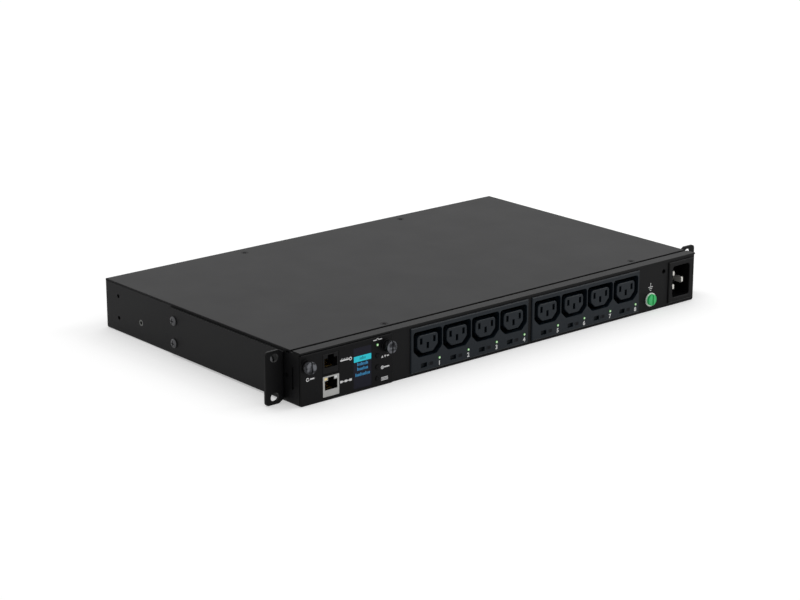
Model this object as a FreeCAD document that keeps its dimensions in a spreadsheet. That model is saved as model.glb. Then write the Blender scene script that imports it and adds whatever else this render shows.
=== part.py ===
import FreeCAD, Part
import Sketcher
import math
import os
import re

# Rack power distribution unit, one rack unit high, in millimetres.
# The origin is the middle of the rack bolt pattern, on the rear face of the ears.
# +X runs to the right seen from the front, +Y to the rear and +Z up.

# Counts, and a full turn in degrees
KNURLS = 30
JACK_CONTACTS = 8
OUTLETS_PER_MODULE = 4
FULL_TURN = 360.0

# Driving dimensions: name, value, meaning
SIZES = [
    ("body_depth", 271.2, "front plane of the bezels to the rear wall"),
    ("body_height", 43.6, "underside to the top of the cover"),
    ("sheet_gauge", 1.2, "thickness of the folded steel"),
    ("bend_radius", 1.8, "outside radius of the tray's folds"),
    ("fit_gap", 0.2, "gap between pieces that are assembled"),
    ("cover_inset", 0.4, "cover edge inside the outer face of the walls"),
    ("cover_lip", 6.5, "depth of the cover's folded lips"),
    ("cover_edge", 0.5, "rounding of the cover's upper edges"),
    ("seam_gap", 3.1, "gap between the cover and the front panel"),
    ("panel_flange", 9.9, "front plane to the end of the panel's flanges"),
    ("panel_return", 24.0, "front plane to the end of the panel's side returns"),
    ("panel_bend", 0.5, "rounding of the panel's upper front edge"),
    ("bezel_proud", 1.4, "bezels and faceplate stand this far off the panel"),
    ("bezel_edge", 0.7, "chamfer round the bezels"),
    ("side_slot_set", 8.8, "front plane to the slot in the side walls"),
    ("side_slot_width", 1.8, "width of that slot"),
    ("side_slot_low", 12.3, "underside to the lower end of the slot"),
    ("side_slot_height", 18.5, "height of the slot"),
    ("notch_length", 4.6, "length of the relief notch at the top of the walls"),
    ("notch_height", 1.2, "height of the relief notch"),
    ("rack_width", 482.6, "across the rack ears"),
    ("ear_width", 19.05, "side wall to the ear's outer edge"),
    ("ear_setback", 19.0, "front plane to the front of the ears"),
    ("ear_gauge", 2.0, "thickness of the ears"),
    ("ear_centre", 21.9, "underside to the middle of the ears"),
    ("ear_reach", 152.3, "rear face of the ear to the end of its side plate"),
    ("ear_bend", 3.0, "outside radius of the ear's fold"),
    ("ear_corner", 3.0, "rounding of the ear's outer corners"),
    ("relief_run", 4.2, "length of the relief beside the ear's fold"),
    ("relief_rise", 2.6, "ear's side plate is this much lower at each edge"),
    ("slot_edge", 8.75, "rack slot centres to the ear's outer edge"),
    ("slot_margin", 5.925, "rack slot centres to the ear's upper and lower edges"),
    ("slot_rise", 31.75, "rack slot centres, up"),
    ("slot_length", 7.8, "rack slot, end to end"),
    ("slot_width", 6.8, "rack slot width"),
    ("ear_screw_end", 7.0, "end of the ear's side plate to its rear screws"),
    ("ear_screw_front", 14.0, "ear's rear face to its front screws"),
    ("ear_screw_rise", 19.2, "distance between the screws of a pair"),
    ("ear_screw_drop", 0.8, "middle of the ear to the middle of a pair"),
    ("ear_screw_head", 3.9, "radius of the ear screw's head"),
    ("ear_screw_dome", 2.0, "height of that head"),
    ("ear_screw_shank", 2.0, "radius of the ear screw's thread"),
    ("ear_screw_length", 7.0, "length of that thread"),
    ("spare_hole_set", 19.9, "rear wall to the spare bracket holes"),
    ("spare_hole_centre", 22.4, "underside to the middle of the spare holes"),
    ("spare_hole_radius", 1.7, "radius of the spare holes"),
    ("insert_set", 53.5, "rear wall to the threaded insert"),
    ("insert_rise", 16.3, "underside to the threaded insert"),
    ("insert_radius", 2.7, "outside radius of the insert"),
    ("insert_bore", 1.5, "bore radius of the insert"),
    ("insert_length", 5.0, "length of the insert"),
    ("side_screw_set", 17.0, "front plane to the panel's side screws"),
    ("side_screw_rise", 22.4, "underside to the panel's side screws"),
    ("side_screw_head", 2.0, "radius of that screw's flush head"),
    ("cover_screw_head", 3.4, "radius of the cover screw's head"),
    ("cover_screw_shank", 1.5, "radius of the cover screw's thread"),
    ("cover_screw_length", 9.0, "length of the cover screw"),
    ("cover_screw_set", 17.6, "front plane to the front cover screws"),
    ("cover_screw_rear", 12.6, "rear wall to the rear cover screws"),
    ("cover_screw_gap", 5.7, "faceplate to the front left cover screw"),
    ("cover_screw_aside", 8.9, "earth screw to the front right cover screw"),
    ("cover_rear_left", -83.7, "rear left cover screw, across"),
    ("cover_rear_right", 97.7, "rear right cover screw, across"),
    ("post_radius", 3.4, "corner radius of the cover posts"),
    ("controller_inset", 0.3, "faceplate edge inside the side wall"),
    ("controller_width", 92.4, "width of the controller faceplate"),
    ("controller_low", 0.2, "underside to the faceplate"),
    ("controller_head", 2.2, "top of the cover to the faceplate"),
    ("plate_corner", 1.2, "rounding of the faceplate's corners"),
    ("plate_edge", 0.4, "chamfer round the faceplate"),
    ("bay_margin", 12.0, "faceplate edge to the bay opening behind it"),
    ("bay_low", 2.9, "underside to the bay opening"),
    ("bay_head", 3.2, "top of the cover to the bay opening"),
    ("thumb_set", 5.9, "faceplate edge to the thumbscrews"),
    ("thumb_drop", 11.4, "top of the cover to the thumbscrews"),
    ("thumb_radius", 5.1, "radius of the thumbscrew's head"),
    ("thumb_length", 4.0, "length of the thumbscrew's head"),
    ("thumb_slot", 1.2, "width of the driver slot"),
    ("thumb_slot_deep", 1.6, "depth of the driver slot"),
    ("knurl_deep", 0.35, "depth of the knurl"),
    ("thread_radius", 2.0, "radius of the thumbscrew's thread"),
    ("thread_reach", 5.4, "front plane to the end of the thread"),
    ("turn_gap", 0.1, "radial gap round turning shafts"),
    ("ferrule_radius", 5.6, "radius of the ferrule's flange"),
    ("ferrule_gauge", 0.7, "thickness of the ferrule's flange"),
    ("ferrule_sleeve", 3.4, "radius of the ferrule's sleeve"),
    ("collar_radius", 4.3, "radius of the collar under the head"),
    ("collar_length", 1.7, "length of the collar"),
    ("stop_gap", 0.3, "gap between pieces that move"),
    ("nut_radius", 3.3, "corner radius of the panel nuts"),
    ("nut_height", 3.2, "height of the panel nuts"),
    ("jack_set", 21.6, "faceplate edge to the jacks"),
    ("jack_width", 16.0, "width of the jacks"),
    ("jack_depth", 20.0, "depth of the jacks"),
    ("jack_wall", 0.5, "thickness of the jack's shield"),
    ("ethernet_low", 3.3, "underside to the network jack"),
    ("jack_head", 5.4, "top of the cover to the upper jack"),
    ("mouth_head", 1.05, "jack's upper edge to its latch notch"),
    ("mouth_width", 12.6, "width of the jack's mouth"),
    ("mouth_height", 7.6, "height of the jack's mouth"),
    ("mouth_depth", 14.0, "depth of the jack's mouth"),
    ("latch_width", 6.0, "width of the latch notch"),
    ("latch_height", 2.6, "height of the latch notch"),
    ("contact_pitch", 1.02, "pitch of the jack contacts"),
    ("contact_wire", 0.35, "thickness of the jack contacts"),
    ("display_set", 52.3, "faceplate edge to the display window"),
    ("display_edge", 21.8, "display window to the faceplate's right edge"),
    ("display_low", 2.9, "underside to the display window"),
    ("display_head", 7.1, "top of the cover to the display window"),
    ("display_depth", 3.2, "thickness of the display module"),
    ("button_edge", 16.0, "buttons to the faceplate's right edge"),
    ("button_radius", 1.9, "radius of the buttons"),
    ("button_proud", 0.7, "buttons stand this far off the faceplate"),
    ("button_flange", 2.6, "radius of the button's flange"),
    ("button_rim", 0.6, "thickness of the button's flange"),
    ("button_travel", 0.5, "travel of the buttons"),
    ("button_low", 7.0, "underside to the lowest button"),
    ("button_pitch", 9.5, "distance between the buttons"),
    ("status_drop", 8.7, "top of the cover to the status light"),
    ("light_radius", 1.1, "radius of the light pipes"),
    ("board_gauge", 1.6, "thickness of the circuit boards"),
    ("front_board_set", 6.4, "front plane to the front board"),
    ("switch_size", 5.0, "side of the switches behind the buttons"),
    ("controller_reach", 102.0, "front plane to the end of the main board"),
    ("plug_length", 8.0, "length of the controller plug and its socket"),
    ("plug_width", 50.0, "width of the controller plug"),
    ("plug_height", 8.0, "height of the controller plug"),
    ("module_set", 19.25, "faceplate to the first outlet module"),
    ("module_gap", 4.2, "gap between the outlet modules"),
    ("module_end", 1.7, "module's edge to the place of its first outlet"),
    ("module_low", 2.5, "underside to the outlet modules"),
    ("module_head", 3.3, "top of the cover to the outlet modules"),
    ("outlet_drop", 17.8, "top of the cover to the middle of the outlets"),
    ("module_lap", 2.5, "bezel overlap on the panel, above and below"),
    ("module_wall", 1.2, "wall of the module beside its end moats"),
    ("module_depth", 24.0, "front plane to the rear of the outlet modules"),
    ("moat_gap", 1.0, "wall between two moats"),
    ("moat_height", 21.8, "height of the outlet's moat"),
    ("moat_corner", 5.8, "cut lower corners of the moat"),
    ("moat_round", 2.8, "rounding of the corners of moat and island"),
    ("moat_depth", 15.0, "depth of the moat"),
    ("moat_side", 4.3, "width of the moat beside the island"),
    ("moat_rise", 3.4, "width of the moat above and below the island"),
    ("island_sink", 0.5, "middle of the island below the middle of its moat"),
    ("island_corner", 5.2, "cut lower corners of the island"),
    ("island_bevel", 0.4, "bevel round the island's front"),
    ("pin_wall", 2.58, "wall of the island beside its slots"),
    ("pin_drop", 4.3, "line slot to earth slot, down"),
    ("pin_slot_width", 2.6, "width of the outlet's slots"),
    ("pin_slot_height", 5.2, "height of the outlet's slots"),
    ("pilot_edge", 3.25, "outlet light to the end of its outlet's place"),
    ("pilot_rise", 10.5, "underside to the outlet lights"),
    ("latch_mark_set", -4.0, "outlet centre to the lock recess"),
    ("latch_mark_rise", 7.5, "underside to the lock recess"),
    ("latch_mark_width", 6.4, "width of the lock recess"),
    ("latch_mark_height", 3.8, "height of the lock recess"),
    ("latch_mark_deep", 2.0, "depth of the lock recess"),
    ("strip_gauge", 0.8, "thickness of the stamped contacts"),
    ("strip_width", 3.8, "width of the stamped contacts"),
    ("strip_set", 6.0, "front plane to the tips of the contacts"),
    ("tail_set", 4.0, "front of the relay board to the end of the line contacts"),
    ("bar_gap", 5.0, "rear of the outlet modules to the rear of the bars"),
    ("bar_height", 5.6, "height of the neutral and earth bars"),
    ("inlet_gap", 2.1, "right wall to the inlet's bezel"),
    ("inlet_low", 2.8, "underside to the inlet's bezel"),
    ("inlet_head", 3.7, "top of the cover to the inlet's bezel"),
    ("inlet_width", 31.1, "width of the inlet's bezel"),
    ("inlet_lap", 3.0, "bezel overlap on the panel"),
    ("inlet_depth", 28.0, "front plane to the rear of the inlet"),
    ("recess_side", 4.9, "inlet's bezel to its recess, across"),
    ("recess_margin", 4.3, "inlet's bezel to its recess, up and down"),
    ("recess_depth", 18.0, "depth of the inlet's recess"),
    ("recess_corner", 2.6, "rounding of the recess"),
    ("recess_bevel", 0.5, "bevel round the recess's mouth"),
    ("blade_gauge", 2.0, "thickness of the blades"),
    ("blade_width", 5.4, "width of the blades"),
    ("blade_spread", 12.5, "line blade to neutral blade"),
    ("blade_offset", 8.0, "line blade to earth blade, across"),
    ("blade_sink", 0.7, "earth blade below the middle of the inlet"),
    ("blade_set", 5.5, "front plane to the tips of the line blades"),
    ("earth_lead_in", 2.9, "earth blade reaches this much further"),
    ("blade_reach", 38.0, "front plane to the end of the blade tabs"),
    ("blade_tip", 1.6, "rounding of the blade tips"),
    ("earth_set", 22.15, "earth screw to the inlet's bezel"),
    ("earth_gap", 15.3, "last outlet module to the earth screw"),
    ("earth_rise", 10.6, "underside to the earth screw"),
    ("earth_head", 5.1, "radius of the earth screw's head"),
    ("earth_dome", 2.7, "height of that head"),
    ("earth_shank", 2.5, "radius of the earth screw's thread"),
    ("earth_length", 11.0, "length of that thread"),
    ("washer_radius", 6.1, "radius of the earth washer"),
    ("washer_gauge", 0.9, "thickness of the earth washer"),
    ("clip_hole_set", 5.85, "cord clip hole to the inlet's bezel"),
    ("clip_hole_rise", 33.1, "underside to the cord clip hole"),
    ("clip_hole_radius", 2.1, "radius of the cord clip hole"),
    ("standoff_height", 4.8, "height of the board standoffs"),
    ("standoff_radius", 3.0, "corner radius of the standoffs"),
    ("cross_blade", 0.9, "width of the cross recesses"),
    ("board_screw_head", 2.8, "radius of the board screw's head"),
    ("board_screw_shank", 1.5, "radius of the board screw's thread"),
    ("board_inset", 6.0, "board edge to its screws"),
    ("relay_board_gap", 5.0, "bars to the relay board"),
    ("relay_gap", 20.0, "front of the relay board to the relays"),
    ("relay_width", 12.8, "width of a relay"),
    ("relay_length", 29.0, "length of a relay"),
    ("relay_height", 15.8, "height of a relay"),
    ("sensor_gap", 5.0, "relays to the current sensors"),
    ("sensor_radius", 8.0, "radius of a current sensor"),
    ("sensor_bore", 3.2, "bore radius of a current sensor"),
    ("sensor_length", 8.0, "length of a current sensor"),
    ("terminal_width", 24.0, "width of the terminal block"),
    ("terminal_gap", 8.0, "current sensors to the terminal block"),
    ("terminal_clear", 10.0, "terminal block to the rear of the relay board"),
    ("terminal_length", 44.0, "length of the terminal block"),
    ("terminal_height", 25.0, "height of the terminal block"),
    ("lead_radius", 1.6, "radius of the mains leads"),
    ("lead_bend", 12.0, "bend radius of the mains leads"),
    ("lead_step", 10.0, "distance between the leads at the terminal block"),
    ("supply_inset", 8.45, "left end of the outlet modules to the supply board"),
    ("supply_width", 140.0, "width of the supply board"),
    ("supply_gap", 7.0, "relay board to the supply board"),
    ("supply_clear", 22.0, "rear wall to the supply board"),
    ("transformer_width", 27.0, "width of the supply transformer"),
    ("transformer_length", 24.0, "length of the supply transformer"),
    ("transformer_height", 22.0, "height of the supply transformer"),
    ("capacitor_radius", 6.5, "radius of the supply capacitors"),
    ("capacitor_height", 22.0, "height of the supply capacitors"),
    ("capacitor_set", 26.0, "right edge of the supply board to the first capacitor"),
    ("capacitor_step", 19.5, "distance between the capacitors"),
    ("cable_radius", 2.5, "radius of the control cable"),
    ("cable_bend", 13.0, "bend radius of the control cable"),
]

# Planes, places and sizes that follow from the driving dimensions
PLACES = [
    ("body_width", "rack_width - 2 * ear_width"),
    ("slot_span", "rack_width - 2 * slot_edge"),
    ("ear_height", "slot_rise + 2 * slot_margin"),
    ("ear_screw_back", "ear_reach - ear_screw_end"),
    ("half", "body_width / 2"),
    ("front", "-(ear_setback + ear_gauge)"),
    ("face", "front + bezel_proud"),
    ("skin", "face + sheet_gauge"),
    ("back", "front + body_depth"),
    ("base", "-ear_centre"),
    ("deck", "base + sheet_gauge"),
    ("lid", "base + body_height"),
    ("ceiling", "lid - sheet_gauge"),
    ("wall_top", "ceiling - fit_gap"),
    ("pan_half", "half - sheet_gauge - fit_gap"),
    ("pan_low", "deck + fit_gap"),
    ("return_top", "ceiling - cover_lip - fit_gap"),
    ("cover_half", "half - cover_inset"),
    ("cover_front", "front + panel_flange + seam_gap"),
    ("cover_back", "back - sheet_gauge - fit_gap"),
    ("spare_hole_back", "back - spare_hole_set"),
    ("insert_back", "back - insert_set"),
    ("plate_left", "-half + controller_inset"),
    ("plate_right", "plate_left + controller_width"),
    ("plate_mid", "plate_left + controller_width / 2"),
    ("plate_low", "base + controller_low"),
    ("plate_top", "lid - controller_head"),
    ("thumb_z", "lid - thumb_drop"),
    ("thumb_left", "plate_left + thumb_set"),
    ("thumb_right", "plate_right - thumb_set"),
    ("jack_left", "plate_left + jack_set"),
    ("jack_right", "jack_left + jack_width"),
    ("jack_mid", "jack_left + jack_width / 2"),
    ("jack_height", "(body_height - jack_head - ethernet_low - board_gauge) / 2"),
    ("mouth_low", "jack_height - mouth_height - latch_height - mouth_head"),
    ("ethernet_z", "base + ethernet_low"),
    ("main_board_z", "ethernet_z + jack_height"),
    ("sensor_z", "main_board_z + board_gauge"),
    ("display_left", "plate_left + display_set"),
    ("display_right", "plate_right - display_edge"),
    ("display_z", "base + display_low"),
    ("display_top", "lid - display_head"),
    ("button_x", "plate_right - button_edge"),
    ("status_z", "lid - status_drop"),
    ("bay_left", "plate_left + bay_margin"),
    ("bay_right", "plate_right - bay_margin"),
    ("bay_top", "lid - bay_head"),
    ("front_board_y", "front + front_board_set"),
    ("plug_y", "front + controller_reach"),
    ("backplane_y", "plug_y + plug_length + fit_gap"),
    ("bay_wall_y", "backplane_y + board_gauge + standoff_height"),
    ("bay_wall_x", "plate_right + fit_gap"),
    ("inlet_height", "body_height - inlet_low - inlet_head"),
    ("inlet_mid", "half - inlet_gap - inlet_width / 2"),
    ("inlet_z", "base + inlet_low + inlet_height / 2"),
    ("recess_width", "inlet_width - 2 * recess_side"),
    ("recess_height", "inlet_height - 2 * recess_margin"),
    ("blade_z", "inlet_z - blade_sink"),
    ("live_blade_x", "inlet_mid - blade_offset / 2"),
    ("earth_blade_x", "inlet_mid + blade_offset / 2"),
    ("clip_hole_x", "inlet_mid - inlet_width / 2 - clip_hole_set"),
    ("earth_x", "inlet_mid - inlet_width / 2 - earth_set"),
    ("module_width", "(earth_x - earth_gap - plate_right - module_set - module_gap) / 2"),
    ("module_height", "body_height - module_low - module_head"),
    ("module_z", "base + module_low"),
    ("left_module", "plate_right + module_set + module_width / 2"),
    ("right_module", "left_module + module_width + module_gap"),
    ("outlet_pitch", f"(module_width - 2 * module_end) / {OUTLETS_PER_MODULE}"),
    ("moat_width", "outlet_pitch - moat_gap"),
    ("module_end_lap", "module_end + moat_gap / 2 - module_wall"),
    ("island_width", "moat_width - 2 * moat_side"),
    ("island_height", "moat_height - 2 * moat_rise"),
    ("pin_spread", "island_width - 2 * pin_wall - pin_slot_width"),
    ("pilot_set", "outlet_pitch / 2 - pilot_edge"),
    ("outlet_z", "lid - outlet_drop"),
    ("live_z", "outlet_z + pin_drop / 2"),
    ("earth_z", "outlet_z - pin_drop / 2"),
    ("bar_reach", "module_depth + bar_gap"),
    ("relay_board_set", "bar_reach + relay_board_gap"),
    ("tail_reach", "relay_board_set + tail_set"),
    ("relay_set", "relay_board_set + relay_gap"),
    ("sensor_set", "relay_set + relay_length + sensor_gap"),
    ("terminal_set", "sensor_set + sensor_length + terminal_gap"),
    ("relay_board_reach", "terminal_set + terminal_length + terminal_clear"),
    ("relay_board_left", "left_module - module_width / 2"),
    ("relay_board_right", "right_module + module_width / 2"),
    ("supply_left", "relay_board_left + supply_inset"),
    ("supply_right", "supply_left + supply_width"),
    ("supply_set", "relay_board_reach + supply_gap"),
    ("supply_reach", "body_depth - supply_clear"),
    ("cable_y", "front + relay_board_reach - plug_length - cable_bend - fit_gap"),
    ("header_x", "relay_board_left + 2 * board_inset"),
    ("board_z", "deck + standoff_height"),
    ("board_top", "board_z + board_gauge"),
    ("terminal_right", "relay_board_right - board_inset / 2"),
]

PLANE_SIGN = {"XY": "", "XZ": "-", "YZ": ""}

# Turns that point a piece modelled along +Z another way
TURNS = {
    "up": FreeCAD.Rotation(),
    "out": FreeCAD.Rotation(FreeCAD.Vector(1, 0, 0), 90),
    "in": FreeCAD.Rotation(FreeCAD.Vector(1, 0, 0), -90),
    "left": FreeCAD.Rotation(FreeCAD.Vector(0, 1, 0), -90),
    "right": FreeCAD.Rotation(FreeCAD.Vector(0, 1, 0), 90),
}

doc = FreeCAD.newDocument("rack_power_unit")
sheet = doc.addObject("Spreadsheet::Sheet", "Sizes")
for row, (name, value, meaning) in enumerate(SIZES, 1):
    sheet.set(f"A{row}", name)
    sheet.set(f"B{row}", str(value))
    sheet.set(f"C{row}", meaning)
    sheet.setAlias(f"B{row}", name)
for row, (name, rule) in enumerate(PLACES, len(SIZES) + 1):
    sheet.set(f"A{row}", name)
    sheet.set(f"B{row}", "=" + rule)
    sheet.setAlias(f"B{row}", name)
doc.recompute()
NAMES = [row[0] for row in SIZES + PLACES]

pieces = []


def formula(text):
    """Spell out a size formula in the sheet's own cells."""
    def spell(match):
        word = match.group(0)
        return "Sizes." + word if word in NAMES else word
    return re.sub(r"[a-z_]+", spell, text)


def bind(item, path, text):
    """Tie one property of an item to a size formula."""
    item.setExpression(path, formula(text))


def piece(item, label):
    """Name a finished sub-part and keep it for writing."""
    item.Label = label
    pieces.append(item)
    return item


def seat(item, x, y, z, turn="up"):
    """Put an item at a place, turned one of the named ways."""
    item.Placement = FreeCAD.Placement(FreeCAD.Vector(), TURNS[turn])
    for axis, text in zip("xyz", (x, y, z)):
        bind(item, f"Placement.Base.{axis}", text)
    return item


def span(middle, half_size):
    """Low and high ends of a stretch round a middle."""
    return f"{middle} - ({half_size})", f"{middle} + ({half_size})"


def rect(low_a, high_a, low_b, high_b):
    """Corners of a rectangle."""
    return [(low_a, low_b), (high_a, low_b), (high_a, high_b), (low_a, high_b)]


def disc(a, b, radius):
    """A circle, told from an outline by being a tuple."""
    return (a, b, radius)


def hexagon(radius):
    """Corners of a hexagon round the middle."""
    rise = f"{radius} * cos(30 deg)"
    half_radius = f"{radius} / 2"
    right = [(half_radius, f"-({rise})"), (radius, "0"), (half_radius, rise)]
    left = [(f"-({half_radius})", rise), (f"-({radius})", "0"), (f"-({half_radius})", f"-({rise})")]
    return right + left


def pin_down(drawing, kind, geometry, point, text):
    """Hold one point of a sketch at a distance from its origin."""
    index = drawing.addConstraint(Sketcher.Constraint(kind, -1, 1, geometry, point, 1.0))
    bind(drawing, f"Constraints[{index}]", text)


def draw_outline(drawing, corners):
    """Add a closed outline whose corners follow size formulas."""
    first = drawing.GeometryCount
    count = len(corners)
    turns = [2 * math.pi * index / count for index in range(count)]
    points = [FreeCAD.Vector(math.cos(turn), math.sin(turn), 0) for turn in turns]
    for index in range(count):
        drawing.addGeometry(Part.LineSegment(points[index], points[(index + 1) % count]))
    for index in range(count):
        following = first + (index + 1) % count
        drawing.addConstraint(Sketcher.Constraint("Coincident", first + index, 2, following, 1))
    for index, (across, up) in enumerate(corners):
        pin_down(drawing, "DistanceX", first + index, 1, across)
        pin_down(drawing, "DistanceY", first + index, 1, up)


def draw_disc(drawing, across, up, radius):
    """Add a circle whose centre and radius follow size formulas."""
    circle = Part.Circle(FreeCAD.Vector(1, 1, 0), FreeCAD.Vector(0, 0, 1), 1.0)
    geometry = drawing.addGeometry(circle)
    pin_down(drawing, "DistanceX", geometry, 3, across)
    pin_down(drawing, "DistanceY", geometry, 3, up)
    index = drawing.addConstraint(Sketcher.Constraint("Radius", geometry, 1.0))
    bind(drawing, f"Constraints[{index}]", radius)


def sketch(body, name, plane, level, shapes):
    """Draw shapes on a body's own plane, moved to a level."""
    drawing = body.newObject("Sketcher::SketchObject", name)
    planes = [feature for feature in body.Origin.OriginFeatures if feature.Role == plane + "_Plane"]
    drawing.AttachmentSupport = (planes[0], [""])
    drawing.MapMode = "FlatFace"
    bind(drawing, "AttachmentOffset.Base.z", f"{PLANE_SIGN[plane]}({level})")
    for shape in shapes:
        if isinstance(shape, tuple):
            draw_disc(drawing, *shape)
        else:
            draw_outline(drawing, shape)
    return drawing


def new_body(name):
    """Start a body of one piece."""
    return doc.addObject("PartDesign::Body", name)


def pad(body, name, plane, low, high, *shapes):
    """Extrude shapes between two levels of a plane."""
    level = high if plane == "XZ" else low
    feature = body.newObject("PartDesign::Pad", name)
    feature.Profile = sketch(body, name + "_sketch", plane, level, shapes)
    bind(feature, "Length", f"({high}) - ({low})")
    body.Tip = feature
    return feature


def pocket(body, name, plane, low, high, *shapes, taper=0.0):
    """Cut shapes between two levels of a plane."""
    level = low if plane == "XZ" else high
    feature = body.newObject("PartDesign::Pocket", name)
    feature.Profile = sketch(body, name + "_sketch", plane, level, shapes)
    feature.TaperAngle = taper
    bind(feature, "Length", f"({high}) - ({low})")
    body.Tip = feature
    return feature


def revolve(body, name, corners):
    """Turn an outline of radius and height about the vertical axis."""
    feature = body.newObject("PartDesign::Revolution", name)
    feature.Profile = sketch(body, name + "_sketch", "XZ", "0", [corners])
    feature.ReferenceAxis = (feature.Profile[0], ["V_Axis"])
    feature.Angle = FULL_TURN
    body.Tip = feature
    return feature


def edges_at(feature, places):
    """Names of the straight edges along an axis at ends of the shape's box, such as Y at x- and z+."""
    doc.recompute()
    box = feature.Shape.BoundBox
    ends = {
        "x-": box.XMin, "x+": box.XMax, "y-": box.YMin,
        "y+": box.YMax, "z-": box.ZMin, "z+": box.ZMax,
    }
    names = []
    for number, edge in enumerate(feature.Shape.Edges, 1):
        if edge.Curve.TypeId != "Part::GeomLine":
            continue
        middle = edge.CenterOfMass
        run = edge.tangentAt(edge.FirstParameter)
        for axis, *sides in places:
            along = abs(getattr(run, axis.lower())) > 0.999
            if along and all(abs(getattr(middle, side[0]) - ends[side]) < 1e-4 for side in sides):
                names.append(f"Edge{number}")
    return sorted(set(names))


def edges_of_length(feature, axis, length):
    """Names of the straight edges along an axis that have a given length."""
    doc.recompute()
    names = []
    for number, edge in enumerate(feature.Shape.Edges, 1):
        if edge.Curve.TypeId != "Part::GeomLine" or abs(edge.Length - length) > 1e-4:
            continue
        run = edge.tangentAt(edge.FirstParameter)
        if abs(getattr(run, axis.lower())) > 0.999:
            names.append(f"Edge{number}")
    return names


def front_rims(feature, width):
    """Names of the edges of each closed rim of a given width on the shape's front plane."""
    doc.recompute()
    shape = feature.Shape
    rim = []
    for face in shape.Faces:
        box = face.BoundBox
        if box.YLength > 1e-4 or abs(box.YMin - shape.BoundBox.YMin) > 1e-4:
            continue
        for wire in face.Wires:
            if abs(wire.BoundBox.XLength - width) < 1e-3:
                rim += wire.Edges
    numbered = enumerate(shape.Edges, 1)
    return [f"Edge{number}" for number, edge in numbered if any(edge.isSame(other) for other in rim)]


def dress_edges(body, kind, name, size, names):
    """Fillet or chamfer the named edges of a body."""
    base = body.Tip
    feature = body.newObject(f"PartDesign::{kind}", name)
    feature.Base = (base, names)
    bind(feature, "Radius" if kind == "Fillet" else "Size", size)
    body.Tip = feature
    return feature


def dress(body, kind, name, size, *places):
    """Fillet or chamfer the edges at the named places of a body."""
    return dress_edges(body, kind, name, size, edges_at(body.Tip, places))


def ring_pattern(body, name, original, count):
    """Repeat a cut round the vertical axis."""
    feature = body.newObject("PartDesign::PolarPattern", name)
    feature.Originals = [original]
    feature.Axis = (original.Profile[0], ["N_Axis"])
    feature.Angle = FULL_TURN
    feature.Occurrences = count
    body.Tip = feature
    return feature


def block(name, x, y, z):
    """A plain block between low and high formulas on each axis."""
    box = doc.addObject("Part::Box", name)
    for size, (low, high) in zip(("Length", "Width", "Height"), (x, y, z)):
        bind(box, size, f"({high}) - ({low})")
    return seat(box, x[0], y[0], z[0])


def rod(name, radius, length, x, y, z, turn="up"):
    """A plain cylinder from a place, along one of the named ways."""
    cylinder = doc.addObject("Part::Cylinder", name)
    bind(cylinder, "Radius", radius)
    bind(cylinder, "Height", length)
    return seat(cylinder, x, y, z, turn)


def fused(name, items):
    """Join items into one solid."""
    joined = doc.addObject("Part::MultiFuse", name)
    joined.Shapes = items
    joined.Refine = True
    return joined


def group(name, items):
    """Hold separate solids in one node."""
    together = doc.addObject("Part::Compound", name)
    together.Links = items
    return piece(together, name)


def linked(name, master, places):
    """Copies of one master solid, each at a place and turn."""
    links = []
    for number, place in enumerate(places, 1):
        link = doc.addObject("App::Link", f"{name}_{number}")
        link.LinkedObject = master
        link.LinkTransform = False
        links.append(seat(link, *place))
    return links


def copies(name, master, places):
    """Hold copies of one master solid in one node."""
    return group(name, linked(name, master, places))


def cross_recess(body, name, top, half_length, deep):
    """Cut a cross for a driver into the top of a screw."""
    reach = (f"{top} - {deep}", f"{top} + {deep}")
    across = rect(*span("0", half_length), *span("0", "cross_blade / 2"))
    along = rect(*span("0", "cross_blade / 2"), *span("0", half_length))
    pocket(body, name + "_across", "XY", *reach, across)
    pocket(body, name + "_along", "XY", *reach, along)


def outlet_x(module, index):
    """Middle of one outlet, across."""
    return f"{module} + {index - 1.5} * outlet_pitch"


def all_outlets():
    """Middles of all outlets, left to right."""
    modules = ("left_module", "right_module")
    return [outlet_x(module, index) for module in modules for index in range(OUTLETS_PER_MODULE)]


# Enclosure

def chassis_tray():
    """Folded tray: floor, side walls and rear wall."""
    body = new_body("chassis_tray")
    pad(body, "tray_block", "XY", "base", "wall_top", rect("-half", "half", "face + fit_gap", "back"))
    hollow = rect("-half + sheet_gauge", "half - sheet_gauge", "front", "back - sheet_gauge")
    pocket(body, "tray_hollow", "XY", "deck", "lid", hollow)
    floor_folds = [("Y", "x-", "z-"), ("Y", "x+", "z-"), ("X", "y+", "z-")]
    rear_folds = [("Z", "x-", "y+"), ("Z", "x+", "y+")]
    dress(body, "Fillet", "tray_folds", "bend_radius", *floor_folds, *rear_folds)
    through = ("YZ", "-half - sheet_gauge", "half + sheet_gauge")
    slot_y = ("front + side_slot_set", "front + side_slot_set + side_slot_width")
    slot_z = ("base + side_slot_low", "base + side_slot_low + side_slot_height")
    pocket(body, "tray_side_slots", *through, rect(*slot_y, *slot_z))
    notch_y = ("cover_front", "cover_front + notch_length")
    pocket(body, "tray_notches", *through, rect(*notch_y, "wall_top - notch_height", "lid"))
    holes = []
    for set_back in ("ear_screw_front", "ear_screw_back"):
        for rise in span("-ear_screw_drop", "ear_screw_rise / 2"):
            holes.append(disc(set_back, rise, "ear_screw_shank + turn_gap"))
    for rise in span("base + spare_hole_centre", "ear_screw_rise / 2"):
        holes.append(disc("spare_hole_back", rise, "spare_hole_radius"))
    holes.append(disc("insert_back", "base + insert_rise", "insert_radius"))
    holes.append(disc("front + side_screw_set", "base + side_screw_rise", "side_screw_head + turn_gap"))
    pocket(body, "tray_side_holes", *through, *holes)
    piece(body, "chassis_tray")


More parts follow.
